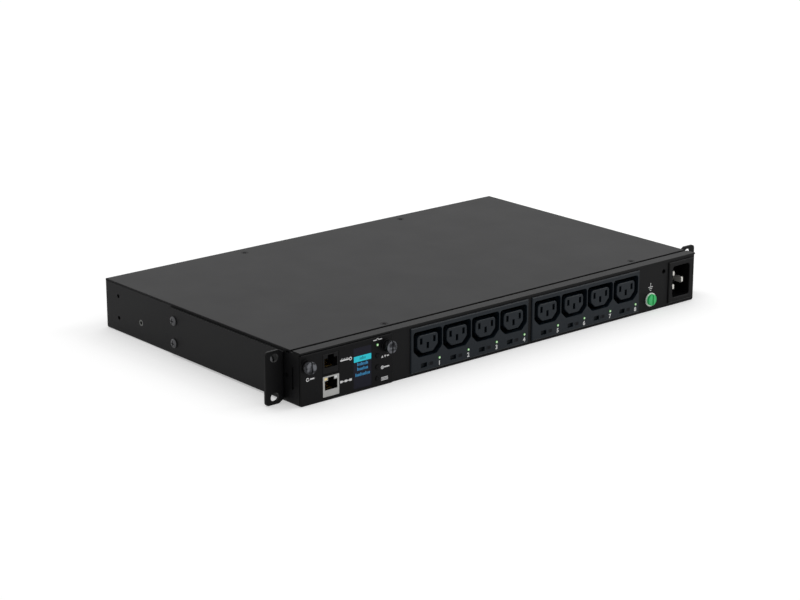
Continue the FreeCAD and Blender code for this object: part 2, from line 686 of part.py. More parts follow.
def top_cover():
    """Flat cover with lips folded down inside the walls."""
    body = new_body("top_cover")
    lips = [
        ("-pan_half", "cover_front"),
        ("-pan_half + sheet_gauge", "cover_front"),
        ("-pan_half + sheet_gauge", "cover_back - sheet_gauge"),
        ("pan_half - sheet_gauge", "cover_back - sheet_gauge"),
        ("pan_half - sheet_gauge", "cover_front"),
        ("pan_half", "cover_front"),
        ("pan_half", "cover_back"),
        ("-pan_half", "cover_back"),
    ]
    pad(body, "cover_lips", "XY", "ceiling - cover_lip", "ceiling", lips)
    plate = rect("-cover_half", "cover_half", "cover_front", "back - cover_inset")
    pad(body, "cover_plate", "XY", "ceiling", "lid", plate)
    rims = [("Y", "x-", "z+"), ("Y", "x+", "z+"), ("X", "y-", "z+"), ("X", "y+", "z+")]
    dress(body, "Fillet", "cover_rims", "cover_edge", *rims)
    holes = [disc(x, y, "cover_screw_head + turn_gap") for x, y in cover_screw_places()]
    pocket(body, "cover_countersinks", "XY", "ceiling", "lid", *holes, taper=-45.0)
    piece(body, "top_cover")


def cover_screw_places():
    """Where the cover screws stand."""
    front_y = "front + cover_screw_set"
    rear_y = "back - cover_screw_rear"
    return [
        ("plate_right + cover_screw_gap", front_y),
        ("earth_x - cover_screw_aside", front_y),
        ("cover_rear_left", rear_y),
        ("cover_rear_right", rear_y),
    ]


def front_panel():
    """Front panel with folded flanges, an upper edge that overhangs its face, and its openings."""
    body = new_body("front_panel")
    pad(body, "panel_face", "XZ", "face", "skin", rect("-pan_half", "pan_half", "pan_low", "lid"))
    hood = rect("-cover_half", "cover_half", "front + fit_gap", "front + panel_flange")
    pad(body, "panel_top_flange", "XY", "ceiling", "lid", hood)
    flange = rect("-pan_half", "pan_half", "face", "front + panel_flange")
    pad(body, "panel_bottom_flange", "XY", "pan_low", "pan_low + sheet_gauge", flange)
    return_y = ("face", "front + panel_return")
    left = rect("-pan_half", "-pan_half + sheet_gauge", *return_y)
    right = rect("pan_half - sheet_gauge", "pan_half", *return_y)
    pad(body, "panel_returns", "XY", "pan_low", "return_top", left, right)
    dress(body, "Fillet", "panel_fold", "panel_bend", ("X", "y-", "z+"))
    bay = rect("bay_left", "bay_right", "base + bay_low", "bay_top")
    windows = [bay]
    for module in ("left_module", "right_module"):
        across = span(module, "module_width / 2 - module_end_lap + fit_gap")
        up = span("module_z + module_height / 2", "module_height / 2 - module_lap + fit_gap")
        windows.append(rect(*across, *up))
    across = span("inlet_mid", "inlet_width / 2 - inlet_lap + fit_gap")
    windows.append(rect(*across, *span("inlet_z", "inlet_height / 2 - inlet_lap + fit_gap")))
    pocket(body, "panel_windows", "XZ", "front", "skin", *windows)
    holes = [
        disc("thumb_left", "thumb_z", "thread_radius + 2 * turn_gap"),
        disc("thumb_right", "thumb_z", "thread_radius + 2 * turn_gap"),
        disc("earth_x", "base + earth_rise", "earth_shank + turn_gap"),
        disc("clip_hole_x", "base + clip_hole_rise", "clip_hole_radius"),
    ]
    pocket(body, "panel_holes", "XZ", "front", "skin", *holes)
    place = ("front + side_screw_set", "base + side_screw_rise")
    pocket(body, "panel_side_holes", "YZ", "-half", "half", disc(*place, "side_screw_head / 2 + turn_gap"))
    piece(body, "front_panel")


def rack_ear(label, side):
    """Bent rack ear with two slots and a side plate screwed to the wall."""
    body = new_body(label)
    left = side == "-"
    wall = f"{side}half"
    plate = f"{side}(half + ear_gauge)"
    tip = f"{side}(rack_width / 2)"
    low = "-ear_height / 2"
    high = "ear_height / 2"
    section = [
        (tip, "-ear_gauge"),
        (wall, "-ear_gauge"),
        (wall, "ear_reach"),
        (plate, "ear_reach"),
        (plate, "0"),
        (tip, "0"),
    ]
    pad(body, label + "_section", "XY", low, high, section)
    inner, outer = ("x+", "x-") if left else ("x-", "x+")
    dress(body, "Fillet", label + "_fold", "ear_bend", ("Z", inner, "y-"))
    dress(body, "Fillet", label + "_corners", "ear_corner", ("Y", outer, "z-"), ("Y", outer, "z+"))
    straight = "(slot_length - slot_width) / 2"
    slots = []
    ends = []
    for rise in span("0", "slot_rise / 2"):
        slots.append(rect(*span(f"{side}slot_span / 2", straight), *span(rise, "slot_width / 2")))
        for end in span(f"{side}slot_span / 2", straight):
            ends.append(disc(end, rise, "slot_width / 2"))
    pocket(body, label + "_slots", "XZ", "-2 * ear_gauge", "ear_gauge", *slots)
    pocket(body, label + "_slot_ends", "XZ", "-2 * ear_gauge", "ear_gauge", *ends)
    reliefs = []
    for edge, way in ((low, "+"), (high, "-")):
        off = "-" if way == "+" else "+"
        reliefs.append([
            (f"{side}(half + ear_gauge + relief_run)", f"{edge} {off} relief_rise"),
            (f"{side}(half + ear_gauge + relief_run)", edge),
            (plate, f"{edge} {way} relief_rise"),
            (f"{side}(half - ear_gauge)", f"{edge} {way} relief_rise"),
            (f"{side}(half - ear_gauge)", f"{edge} {off} relief_rise"),
        ])
    pocket(body, label + "_reliefs", "XZ", "-2 * ear_gauge", "ear_reach + ear_gauge", *reliefs)
    holes = []
    for set_back in ("ear_screw_front", "ear_screw_back"):
        for rise in span("-ear_screw_drop", "ear_screw_rise / 2"):
            holes.append(disc(set_back, rise, "ear_screw_shank + turn_gap"))
    reach = ("-half - 2 * ear_gauge", "-half") if left else ("half", "half + 2 * ear_gauge")
    pocket(body, label + "_holes", "YZ", *reach, *holes)
    piece(body, label)


def ear_screws():
    """Domed cross-head screws that hold the ears."""
    body = new_body("ear_screw_master")
    dome = "ear_screw_dome"
    profile = [
        ("0", "-ear_screw_length"),
        ("ear_screw_shank", "-ear_screw_length"),
        ("ear_screw_shank", "0"),
        ("ear_screw_head", "0"),
        ("ear_screw_head", f"{dome} * 0.45"),
        ("ear_screw_head * 0.72", f"{dome} * 0.86"),
        ("ear_screw_head * 0.4", dome),
        ("0", dome),
    ]
    revolve(body, "ear_screw_turned", profile)
    cross_recess(body, "ear_screw_cross", dome, "ear_screw_head * 0.58", f"{dome} * 0.6")
    places = []
    for side, turn in (("-", "left"), ("", "right")):
        for set_back in ("ear_screw_front", "ear_screw_back"):
            for rise in span("-ear_screw_drop", "ear_screw_rise / 2"):
                places.append((f"{side}(half + ear_gauge)", set_back, rise, turn))
    copies("ear_screws", body, places)


def cover_screws():
    """Countersunk cross-head screws that hold the cover."""
    body = new_body("cover_screw_master")
    cone = "cover_screw_head - cover_screw_shank"
    profile = [
        ("0", "-cover_screw_length"),
        ("cover_screw_shank", "-cover_screw_length"),
        ("cover_screw_shank", f"-({cone})"),
        ("cover_screw_head", "0"),
        ("0", "0"),
    ]
    revolve(body, "cover_screw_turned", profile)
    cross_recess(body, "cover_screw_cross", "0", "cover_screw_head * 0.55", "cover_screw_head * 0.27")
    places = [(x, y, "lid - turn_gap", "up") for x, y in cover_screw_places()]
    copies("cover_screws", body, places)


def cover_posts():
    """Hexagonal posts from the floor that take the cover screws."""
    body = new_body("cover_post_master")
    pad(body, "cover_post_bar", "XY", "0", "ceiling - deck", hexagon("post_radius"))
    pocket(body, "cover_post_bore", "XY", "ceiling - deck - cover_screw_length", "ceiling - deck",
           disc("0", "0", "cover_screw_shank + 2 * turn_gap"))
    pocket(body, "cover_post_sink", "XY", "ceiling - deck - sheet_gauge", "ceiling - deck",
           disc("0", "0", "cover_screw_head - sheet_gauge + 2 * turn_gap"))
    copies("cover_posts", body, [(x, y, "deck", "up") for x, y in cover_screw_places()])


def panel_side_screws():
    """Flush screws that hold the panel's side returns."""
    body = new_body("side_screw_master")
    profile = [
        ("0", "-3 * sheet_gauge"),
        ("side_screw_head / 2", "-3 * sheet_gauge"),
        ("side_screw_head / 2", "-sheet_gauge"),
        ("side_screw_head", "-sheet_gauge"),
        ("side_screw_head", "0"),
        ("0", "0"),
    ]
    revolve(body, "side_screw_turned", profile)
    cross_recess(body, "side_screw_cross", "0", "side_screw_head * 0.6", "side_screw_head * 0.3")
    place = ("front + side_screw_set", "base + side_screw_rise")
    copies("panel_side_screws", body, [("-half", *place, "left"), ("half", *place, "right")])


def side_inserts():
    """Threaded inserts pressed into the side walls."""
    body = new_body("side_insert_master")
    pad(body, "insert_ring", "XY", "-insert_length", "0", disc("0", "0", "insert_radius"))
    pocket(body, "insert_bore", "XY", "-insert_length", "0", disc("0", "0", "insert_bore"))
    place = ("insert_back", "base + insert_rise")
    copies("side_inserts", body, [("-half", *place, "left"), ("half", *place, "right")])


# Controller module

def jack_mouth(low):
    """Mouth of a jack with its latch notch on top."""
    bottom = f"{low} + mouth_low"
    ledge = f"{bottom} + mouth_height"
    top = f"{ledge} + latch_height"
    mouth_left, mouth_right = span("jack_mid", "mouth_width / 2")
    latch_left, latch_right = span("jack_mid", "latch_width / 2")
    return [
        (mouth_left, bottom),
        (mouth_right, bottom),
        (mouth_right, ledge),
        (latch_right, ledge),
        (latch_right, top),
        (latch_left, top),
        (latch_left, ledge),
        (mouth_left, ledge),
    ]


def button_heights():
    """Heights of the buttons, from the top."""
    return [f"base + button_low + {step} * button_pitch" for step in (2, 1, 0)]


def controller_faceplate():
    """Faceplate of the controller, with its openings."""
    body = new_body("controller_faceplate")
    outline = rect("plate_left", "plate_right", "plate_low", "plate_top")
    pad(body, "faceplate_sheet", "XZ", "front", "face", outline)
    corners = [("Y", x, z) for x in ("x-", "x+") for z in ("z-", "z+")]
    dress(body, "Fillet", "faceplate_corners", "plate_corner", *corners)
    rims = [("X", "y-", "z-"), ("X", "y-", "z+"), ("Z", "x-", "y-"), ("Z", "x+", "y-")]
    dress(body, "Chamfer", "faceplate_rims", "plate_edge", *rims)
    jack_x = ("jack_left - fit_gap", "jack_right + fit_gap")
    windows = [
        rect(*jack_x, "ethernet_z - fit_gap", "main_board_z + fit_gap"),
        rect(*jack_x, "sensor_z - fit_gap", "sensor_z + jack_height + fit_gap"),
        rect("display_left", "display_right", "display_z", "display_top"),
    ]
    pocket(body, "faceplate_windows", "XZ", "front", "face", *windows)
    holes = [disc("button_x", z, "button_radius + stop_gap") for z in button_heights()]
    holes.append(disc("button_x", "status_z", "light_radius + turn_gap"))
    holes.append(disc("thumb_left", "thumb_z", "ferrule_sleeve"))
    holes.append(disc("thumb_right", "thumb_z", "ferrule_sleeve"))
    pocket(body, "faceplate_holes", "XZ", "front", "face", *holes)
    piece(body, "controller_faceplate")


def thumbscrew(label, x):
    """Captive thumbscrew: knurled head with a driver slot, and its thread."""
    body = new_body(label)
    under = "ferrule_gauge + stop_gap + collar_length + stop_gap"
    top = f"{under} + thumb_length"
    profile = [
        ("0", "-thread_reach"),
        ("thread_radius", "-thread_reach"),
        ("thread_radius", under),
        ("thumb_radius - knurl_deep", under),
        ("thumb_radius", f"{under} + knurl_deep"),
        ("thumb_radius", f"{top} - 2 * knurl_deep"),
        ("thumb_radius - 2 * knurl_deep", top),
        ("0", top),
    ]
    revolve(body, label + "_turned", profile)
    groove = [
        ("thumb_radius - knurl_deep", "0"),
        ("thumb_radius + knurl_deep", "knurl_deep * 1.6"),
        ("thumb_radius + knurl_deep", "-knurl_deep * 1.6"),
    ]
    first = pocket(body, label + "_groove", "XY", under, top, groove)
    ring_pattern(body, label + "_knurl", first, KNURLS)
    slot = rect(*span("0", "thumb_slot / 2"), *span("0", "2 * thumb_radius"))
    pocket(body, label + "_slot", "XY", f"{top} - thumb_slot_deep", f"{top} + thumb_slot_deep", slot)
    seat(body, x, "front", "thumb_z", "out")
    piece(body, label)


def thumbscrew_collar(label, x):
    """Black collar that rides under the thumbscrew's head."""
    body = new_body(label)
    low = "ferrule_gauge + stop_gap"
    pad(body, label + "_ring", "XY", low, f"{low} + collar_length", disc("0", "0", "collar_radius"))
    bore = disc("0", "0", "thread_radius + turn_gap")
    pocket(body, label + "_bore", "XY", "0", f"{low} + collar_length", bore)
    seat(body, x, "front", "thumb_z", "out")
    piece(body, label)


def thumbscrew_ferrules():
    """Flanged ferrules pressed into the faceplate."""
    body = new_body("ferrule_master")
    profile = [
        ("thread_radius + turn_gap", "-bezel_proud"),
        ("ferrule_sleeve", "-bezel_proud"),
        ("ferrule_sleeve", "0"),
        ("ferrule_radius", "0"),
        ("ferrule_radius", "ferrule_gauge / 2"),
        ("ferrule_radius - ferrule_gauge / 2", "ferrule_gauge"),
        ("thread_radius + turn_gap", "ferrule_gauge"),
    ]
    revolve(body, "ferrule_turned", profile)
    places = [(x, "front", "thumb_z", "out") for x in ("thumb_left", "thumb_right")]
    copies("thumbscrew_ferrules", body, places)


def panel_nuts():
    """Nuts behind the panel that take the thumbscrews and the earth screw."""
    body = new_body("panel_nut_master")
    pad(body, "panel_nut_bar", "XY", "0", "nut_height", hexagon("nut_radius"))
    pocket(body, "panel_nut_bore", "XY", "0", "nut_height", disc("0", "0", "thread_radius + turn_gap"))
    places = [(x, "skin", "thumb_z", "in") for x in ("thumb_left", "thumb_right")]
    links = linked("panel_nut", body, places)
    earth = new_body("earth_nut")
    pad(earth, "earth_nut_bar", "XY", "0", "nut_height", hexagon("earth_shank * 1.85"))
    pocket(earth, "earth_nut_bore", "XY", "0", "nut_height", disc("0", "0", "earth_shank + turn_gap"))
    seat(earth, "earth_x", "skin", "base + earth_rise", "in")
    group("panel_nuts", links + [earth])


def network_jack():
    """Shielded network jack: shield, moulded housing and two link lights."""
    shield = new_body("ethernet_shield")
    jack_x = ("jack_left", "jack_right")
    jack_y = ("front - fit_gap", "front + jack_depth")
    jack_z = ("ethernet_z", "main_board_z")
    inner = rect(
        "jack_left + jack_wall", "jack_right - jack_wall",
        "ethernet_z + jack_wall", "main_board_z - jack_wall",
    )
    pad(shield, "shield_block", "XZ", *jack_y, rect(*jack_x, *jack_z))
    folds = [("Y", x, z) for x in ("x-", "x+") for z in ("z-", "z+")]
    dress(shield, "Fillet", "shield_folds", "jack_wall", *folds)
    pocket(shield, "shield_hollow", "XZ", "front - fit_gap + jack_wall", "front + jack_depth", inner)
    ledge = "ethernet_z + mouth_low + mouth_height"
    light_z = (f"{ledge} + jack_wall", f"{ledge} + latch_height")
    light_x = [
        ("jack_left + 3 * jack_wall", "jack_mid - latch_width / 2 - jack_wall"),
        ("jack_mid + latch_width / 2 + jack_wall", "jack_right - 3 * jack_wall"),
    ]
    mouth = jack_mouth("ethernet_z")
    windows = [rect(*x, *light_z) for x in light_x]
    pocket(shield, "shield_mouth", "XZ", "front - 2 * fit_gap", "front + jack_wall", mouth, *windows)
    piece(shield, "ethernet_shield")
    housing = new_body("ethernet_housing")
    housing_y = ("front + jack_wall", "front + jack_depth - jack_wall")
    core = rect(
        "jack_left + jack_wall + turn_gap", "jack_right - jack_wall - turn_gap",
        "ethernet_z + jack_wall + turn_gap", "main_board_z - jack_wall - turn_gap",
    )
    pad(housing, "housing_block", "XZ", *housing_y, core)
    pocket(housing, "housing_mouth", "XZ", "front", "front + mouth_depth", mouth)
    pocket(housing, "housing_lights", "XZ", "front", "front + 4 * jack_wall", *windows)
    piece(housing, "ethernet_housing")
    lights = []
    for number, (low, high) in enumerate(light_x, 1):
        across = (f"{low} + turn_gap", f"{high} - turn_gap")
        up = (f"{light_z[0]} + turn_gap", f"{light_z[1]} - turn_gap")
        lights.append(block(f"link_light_{number}", across, ("front", "front + 4 * jack_wall"), up))
    group("link_lights", lights)


def sensor_jack():
    """Black moulded jack for a sensor lead."""
    body = new_body("sensor_jack")
    outside = rect("jack_left", "jack_right", "sensor_z", "sensor_z + jack_height")
    pad(body, "sensor_block", "XZ", "front - fit_gap", "front + jack_depth", outside)
    rims = [("X", "y-", "z-"), ("X", "y-", "z+"), ("Z", "x-", "y-"), ("Z", "x+", "y-")]
    dress(body, "Chamfer", "sensor_rims", "jack_wall", *rims)
    mouth = jack_mouth("sensor_z")
    pocket(body, "sensor_mouth", "XZ", "front - 2 * fit_gap", "front + mouth_depth", mouth)
    piece(body, "sensor_jack")


def jack_contacts():
    """Sprung contact wires along the floor of both mouths."""
    wires = []
    for name, low in (("ethernet", "ethernet_z"), ("sensor", "sensor_z")):
        for number in range(JACK_CONTACTS):
            middle = f"jack_mid + {number - (JACK_CONTACTS - 1) / 2} * contact_pitch"
            floor_z = f"{low} + mouth_low"
            across = span(middle, "contact_wire / 2")
            wire = f"{name}_wire_{number}"
            foot_y = ("front + mouth_depth * 0.25", "front + mouth_depth")
            foot = block(wire + "_foot", across, foot_y, (floor_z, f"{floor_z} + contact_wire"))
            bow_y = ("front + mouth_depth * 0.7", "front + mouth_depth")
            bow = block(wire + "_bow", across, bow_y, (floor_z, f"{floor_z} + 8 * contact_wire"))
            wires.append(fused(wire, [foot, bow]))
    group("jack_contacts", wires)


def display():
    """Tinted display window and the display module behind it."""
    x = ("display_left + turn_gap", "display_right - turn_gap")
    z = ("display_z + turn_gap", "display_top - turn_gap")
    piece(block("display_window", x, ("front + turn_gap", "face"), z), "display_window")
    inner_x = ("display_left + stop_gap", "display_right - stop_gap")
    inner_z = ("display_z + 5 * stop_gap", "display_top - stop_gap")
    inner_y = ("face + stop_gap", "face + stop_gap + display_depth")
    piece(block("display_module", inner_x, inner_y, inner_z), "display_module")


def menu_button(label, z):
    """Small round push button with a flange behind the faceplate."""
    body = new_body(label)
    heel = "-(bezel_proud + stop_gap + button_rim)"
    flange = "-(bezel_proud + stop_gap)"
    profile = [
        ("0", heel),
        ("button_flange", heel),
        ("button_flange", flange),
        ("button_radius", flange),
        ("button_radius", "button_proud * 0.5"),
        ("button_radius * 0.8", "button_proud"),
        ("0", "button_proud"),
    ]
    revolve(body, label + "_turned", profile)
    seat(body, "button_x", "front", z, "out")
    piece(body, label)


def front_board():
    """Board behind the display and the buttons, its switches and the status light pipe."""
    x = ("display_left - stop_gap", "bay_right - stop_gap")
    z = ("base + bay_low + 4 * stop_gap", "bay_top - 4 * stop_gap")
    y = ("front_board_y", "front_board_y + board_gauge")
    piece(block("controller_front_board", x, y, z), "controller_front_board")
    tip = "face + stop_gap + button_rim + button_travel + stop_gap"
    switches = []
    for number, height in enumerate(button_heights(), 1):
        case_x = ("button_x - switch_size / 2", "bay_right - 2 * stop_gap")
        case = block(f"switch_{number}_case", case_x, (f"{tip} + stop_gap", "front_board_y"),
                     span(height, "switch_size / 2"))
        plunger = rod(f"switch_{number}_plunger", "button_radius * 0.8", "2 * stop_gap",
                      "button_x", tip, height, "in")
        switches.append(fused(f"switch_{number}", [case, plunger]))
    group("button_switches", switches)
    pipe = new_body("status_light_pipe")
    length = "front_board_set"
    profile = [
        ("0", f"-{length}"),
        ("light_radius", f"-{length}"),
        ("light_radius", "0"),
        ("light_radius * 0.7", "light_radius * 0.35"),
        ("0", "light_radius * 0.5"),
    ]
    revolve(pipe, "status_pipe_turned", profile)
    seat(pipe, "button_x", "front", "status_z", "out")
    piece(pipe, "status_light_pipe")


def main_board():
    """Main controller board with its chips and plug, and the sockets of the boards it meets."""
    x = ("bay_left + fit_gap", "bay_right - fit_gap")
    y = ("front_board_y + board_gauge + fit_gap", "plug_y")
    piece(block("controller_main_board", x, y, ("main_board_z", "sensor_z")), "controller_main_board")
    chips = []
    for number, (across, depth, side, height) in enumerate([
        (-0.13, 0.49, 0.15, 0.9),
        (0.09, 0.45, 0.11, 0.7),
        (0.22, 0.61, 0.09, 1.4),
        (-0.15, 0.73, 0.10, 0.8),
        (0.07, 0.76, 0.13, 3.1),
    ], 1):
        chip_x = span(f"plate_mid + {across} * controller_width", f"{side / 2} * controller_width")
        chip_y = span(f"front + {depth} * controller_reach", f"{side / 2} * controller_width")
        chip_z = ("sensor_z", f"sensor_z + {height} * board_gauge")
        chips.append(block(f"chip_{number}", chip_x, chip_y, chip_z))
    group("controller_chips", chips)
    plug_x = span("plate_mid", "plug_width / 2")
    plug_z = ("sensor_z", "sensor_z + plug_height")
    plug = block("controller_plug", plug_x, ("plug_y - plug_length", "plug_y"), plug_z)
    piece(plug, "controller_plug")
    socket_y = ("plug_y + fit_gap", "backplane_y")
    socket = block("backplane_socket", plug_x, socket_y, plug_z)
    header_y = span("cable_y + cable_bend", "plug_length")
    header_z = ("board_top", "2 * cable_radius")
    header = block("cable_header", ("header_x", "header_x + plug_length"), header_y, header_z)
    group("board_sockets", [socket, header])


def backplane():
    """Backplane board of the controller bay and the wall that carries it."""
    x = ("bay_left", "bay_right")
    z = ("base + bay_low + standoff_radius", "bay_top - standoff_radius")
    board = new_body("backplane_board")
    pad(board, "backplane_sheet", "XZ", "backplane_y", "backplane_y + board_gauge", rect(*x, *z))
    holes = [disc(across, up, "board_screw_shank + turn_gap") for across, up in backplane_screws()]
    pocket(board, "backplane_holes", "XZ", "backplane_y", "backplane_y + board_gauge", *holes)
    piece(board, "backplane_board")
    wall = new_body("bay_wall")
    corner = [
        ("bay_left", "bay_wall_y"),
        ("bay_wall_x", "bay_wall_y"),
        ("bay_wall_x", "front + panel_return"),
        ("bay_wall_x + sheet_gauge", "front + panel_return"),
        ("bay_wall_x + sheet_gauge", "bay_wall_y + sheet_gauge"),
        ("bay_left", "bay_wall_y + sheet_gauge"),
    ]
    pad(wall, "bay_wall_section", "XY", "deck", "bay_top", corner)
    foot = rect("bay_wall_x", "bay_wall_x + 6 * sheet_gauge", "front + panel_return", "bay_wall_y")
    pad(wall, "bay_wall_foot", "XY", "deck", "deck + sheet_gauge", foot)
    window = rect(*span("plate_mid", "2 * cable_radius"), *span("0", "2 * cable_radius"))
    pocket(wall, "bay_wall_window", "XZ", "bay_wall_y", "bay_wall_y + sheet_gauge", window)
    piece(wall, "bay_wall")


def backplane_screws():
    """Where the backplane board is screwed to the bay wall."""
    inset = "(standoff_radius + board_inset)"
    across = ("bay_left + board_inset", "bay_right - board_inset")
    up = (f"base + bay_low + {inset}", f"bay_top - {inset}")
    return [(x, z) for x in across for z in up]


def control_cable():
    """Control cable from the backplane to the relay board."""
    start = "backplane_y + board_gauge"
    bend_y = "cable_y"
    run_x = "plate_mid + cable_bend"
    out = rod("cable_out", "cable_radius", f"{bend_y} - ({start})", "plate_mid", start, "0", "in")
    turn = quarter_bend("cable_turn", "cable_radius", "cable_bend", run_x, bend_y, "0", 90.0)
    run = f"header_x - ({run_x})"
    along = rod("cable_along", "cable_radius", run, run_x, f"{bend_y} + cable_bend", "0", "right")
    piece(fused("control_cable", [out, turn, along]), "control_cable")


def quarter_bend(name, radius, bend, x, y, z, start):
    """Quarter of a ring lying flat, from a start angle counted from +X."""
    ring = doc.addObject("Part::Torus", name)
    bind(ring, "Radius1", bend)
    bind(ring, "Radius2", radius)
    ring.Angle3 = FULL_TURN / 4
    turn = FreeCAD.Rotation(FreeCAD.Vector(0, 0, 1), start)
    ring.Placement = FreeCAD.Placement(FreeCAD.Vector(), turn)
    for axis, text in zip("xyz", (x, y, z)):
        bind(ring, f"Placement.Base.{axis}", text)
    return ring


# Outlets

def cut_corner_outline(middle, height_at, width, height, corner):
    """Outlet outline: a rectangle with its lower corners cut."""
    left, right = span(middle, f"{width} / 2")
    bottom, top = span(height_at, f"{height} / 2")
    return [
        (f"{left} + {corner}", bottom),
        (f"{right} - {corner}", bottom),
        (right, f"{bottom} + {corner}"),
        (right, top),
        (left, top),
        (left, f"{bottom} + {corner}"),
    ]


def outlet_module(label, module):
    """Moulded module of four outlets with moats, slots, light holes and lock marks."""
    body = new_body(label)
    bezel_x = span(module, "module_width / 2")
    bezel_z = ("module_z", "module_z + module_height")
    pad(body, label + "_bezel", "XZ", "front", "face", rect(*bezel_x, *bezel_z))
    rims = [("X", "y-", "z-"), ("X", "y-", "z+"), ("Z", "x-", "y-"), ("Z", "x+", "y-")]
    dress(body, "Chamfer", label + "_rims", "bezel_edge", *rims)
    core_x = span(module, "module_width / 2 - module_end_lap")
    core_z = ("module_z + module_lap", "module_z + module_height - module_lap")
    pad(body, label + "_core", "XZ", "face", "front + module_depth", rect(*core_x, *core_z))
    middle = outlet_x(module, 0)
    outer = cut_corner_outline(middle, "outlet_z", "moat_width", "moat_height", "moat_corner")
    island_z = "outlet_z - island_sink"
    inner = cut_corner_outline(middle, island_z, "island_width", "island_height", "island_corner")
    moat = pocket(body, label + "_moat", "XZ", "front", "front + moat_depth", outer, inner)
    half_slot = ("pin_slot_width / 2", "pin_slot_height / 2")
    line, neutral = span(middle, "pin_spread / 2")
    slots = [rect(*span(x, half_slot[0]), *span(z, half_slot[1]))
             for x, z in ((line, "live_z"), (neutral, "live_z"), (middle, "earth_z"))]
    through = ("front", "front + module_depth")
    pins = pocket(body, label + "_slots", "XZ", *through, *slots)
    light = disc(f"{middle} + pilot_set", "base + pilot_rise", "light_radius + turn_gap")
    pilot = pocket(body, label + "_light", "XZ", *through, light)
    mark_x = span(f"{middle} + latch_mark_set", "latch_mark_width / 2")
    mark_z = span("base + latch_mark_rise", "latch_mark_height / 2")
    lock = pocket(body, label + "_lock", "XZ", "front", "front + latch_mark_deep", rect(*mark_x, *mark_z))
    row = body.newObject("PartDesign::LinearPattern", label + "_row")
    row.Originals = [moat, pins, pilot, lock]
    row.Direction = (moat.Profile[0], ["H_Axis"])
    bind(row, "Length", f"{OUTLETS_PER_MODULE - 1} * outlet_pitch")
    row.Occurrences = OUTLETS_PER_MODULE
    body.Tip = row
    corners = edges_of_length(row, "Y", sheet.moat_depth)
    rounded = dress_edges(body, "Fillet", label + "_rounds", "moat_round", corners)
    rims = front_rims(rounded, sheet.island_width)
    dress_edges(body, "Chamfer", label + "_bevels", "island_bevel", rims)
    piece(body, label)


def outlet_light_pipes():
    """Light pipe of each outlet."""
    body = new_body("outlet_pipe_master")
    profile = [
        ("0", "-module_depth - light_radius"),
        ("light_radius", "-module_depth - light_radius"),
        ("light_radius", "0"),
        ("light_radius * 0.7", "light_radius * 0.25"),
        ("0", "light_radius * 0.4"),
    ]
    revolve(body, "outlet_pipe_turned", profile)
    places = [(f"{x} + pilot_set", "front", "base + pilot_rise", "out") for x in all_outlets()]
    copies("outlet_light_pipes", body, places)


def finger(name, x, z, reach):
    """One stamped contact finger in a slot."""
    depth = ("front + strip_set", f"front + {reach}")
    return block(name, span(x, "strip_gauge / 2"), depth, span(z, "strip_width / 2"))


def line_contacts():
    """Separate line contacts whose tails stand on the relay board."""
    contacts = []
    for number, middle in enumerate(all_outlets(), 1):
        x = f"{middle} - pin_spread / 2"
        tail_y = ("front + tail_reach - strip_gauge", "front + tail_reach")
        tail = block(f"line_tail_{number}", span(x, "strip_gauge / 2"), tail_y, ("board_top", "live_z"))
        prong = finger(f"line_finger_{number}", x, "live_z", "tail_reach")
        contacts.append(fused(f"line_contact_{number}", [prong, tail]))
    group("line_contacts", contacts)


def contact_bar(label, offset, z, bar_z, tab_z):
    """Stamped bar with one contact finger and tab for each outlet."""
    middles = all_outlets()
    bar_y = ("front + bar_reach - strip_gauge", "front + bar_reach")
    ends = (f"{middles[0]} + {offset} - strip_width", f"{middles[-1]} + {offset} + strip_width")
    items = [block(label + "_strip", ends, bar_y, bar_z)]
    for number, middle in enumerate(middles, 1):
        x = f"{middle} + {offset}"
        items.append(finger(f"{label}_finger_{number}", x, z, "bar_reach"))
        items.append(block(f"{label}_tab_{number}", span(x, "strip_width / 2"), bar_y, tab_z))
    piece(fused(label, items), label)


def contact_bars():
    """Neutral bar above and earth bar below the line contacts."""
    low = "live_z + strip_width / 2 + strip_gauge"
    high = f"{low} + bar_height"
    contact_bar("neutral_bar", "pin_spread / 2", "live_z", (low, high), ("live_z - strip_width / 2", high))
    high = "earth_z - strip_width / 2 - strip_gauge"
    low = f"{high} - bar_height"
    contact_bar("earth_bar", "0", "earth_z", (low, high), (low, "earth_z + strip_width / 2"))


# Mains inlet and earth

def blade_places():
    """Middles of the three blades and how much further each reaches."""
    upper, lower = ("blade_z + blade_spread / 2", "blade_z - blade_spread / 2")
    return [
        ("live_blade_x", upper, "0"),
        ("live_blade_x", lower, "0"),
        ("earth_blade_x", "blade_z", "earth_lead_in"),
    ]


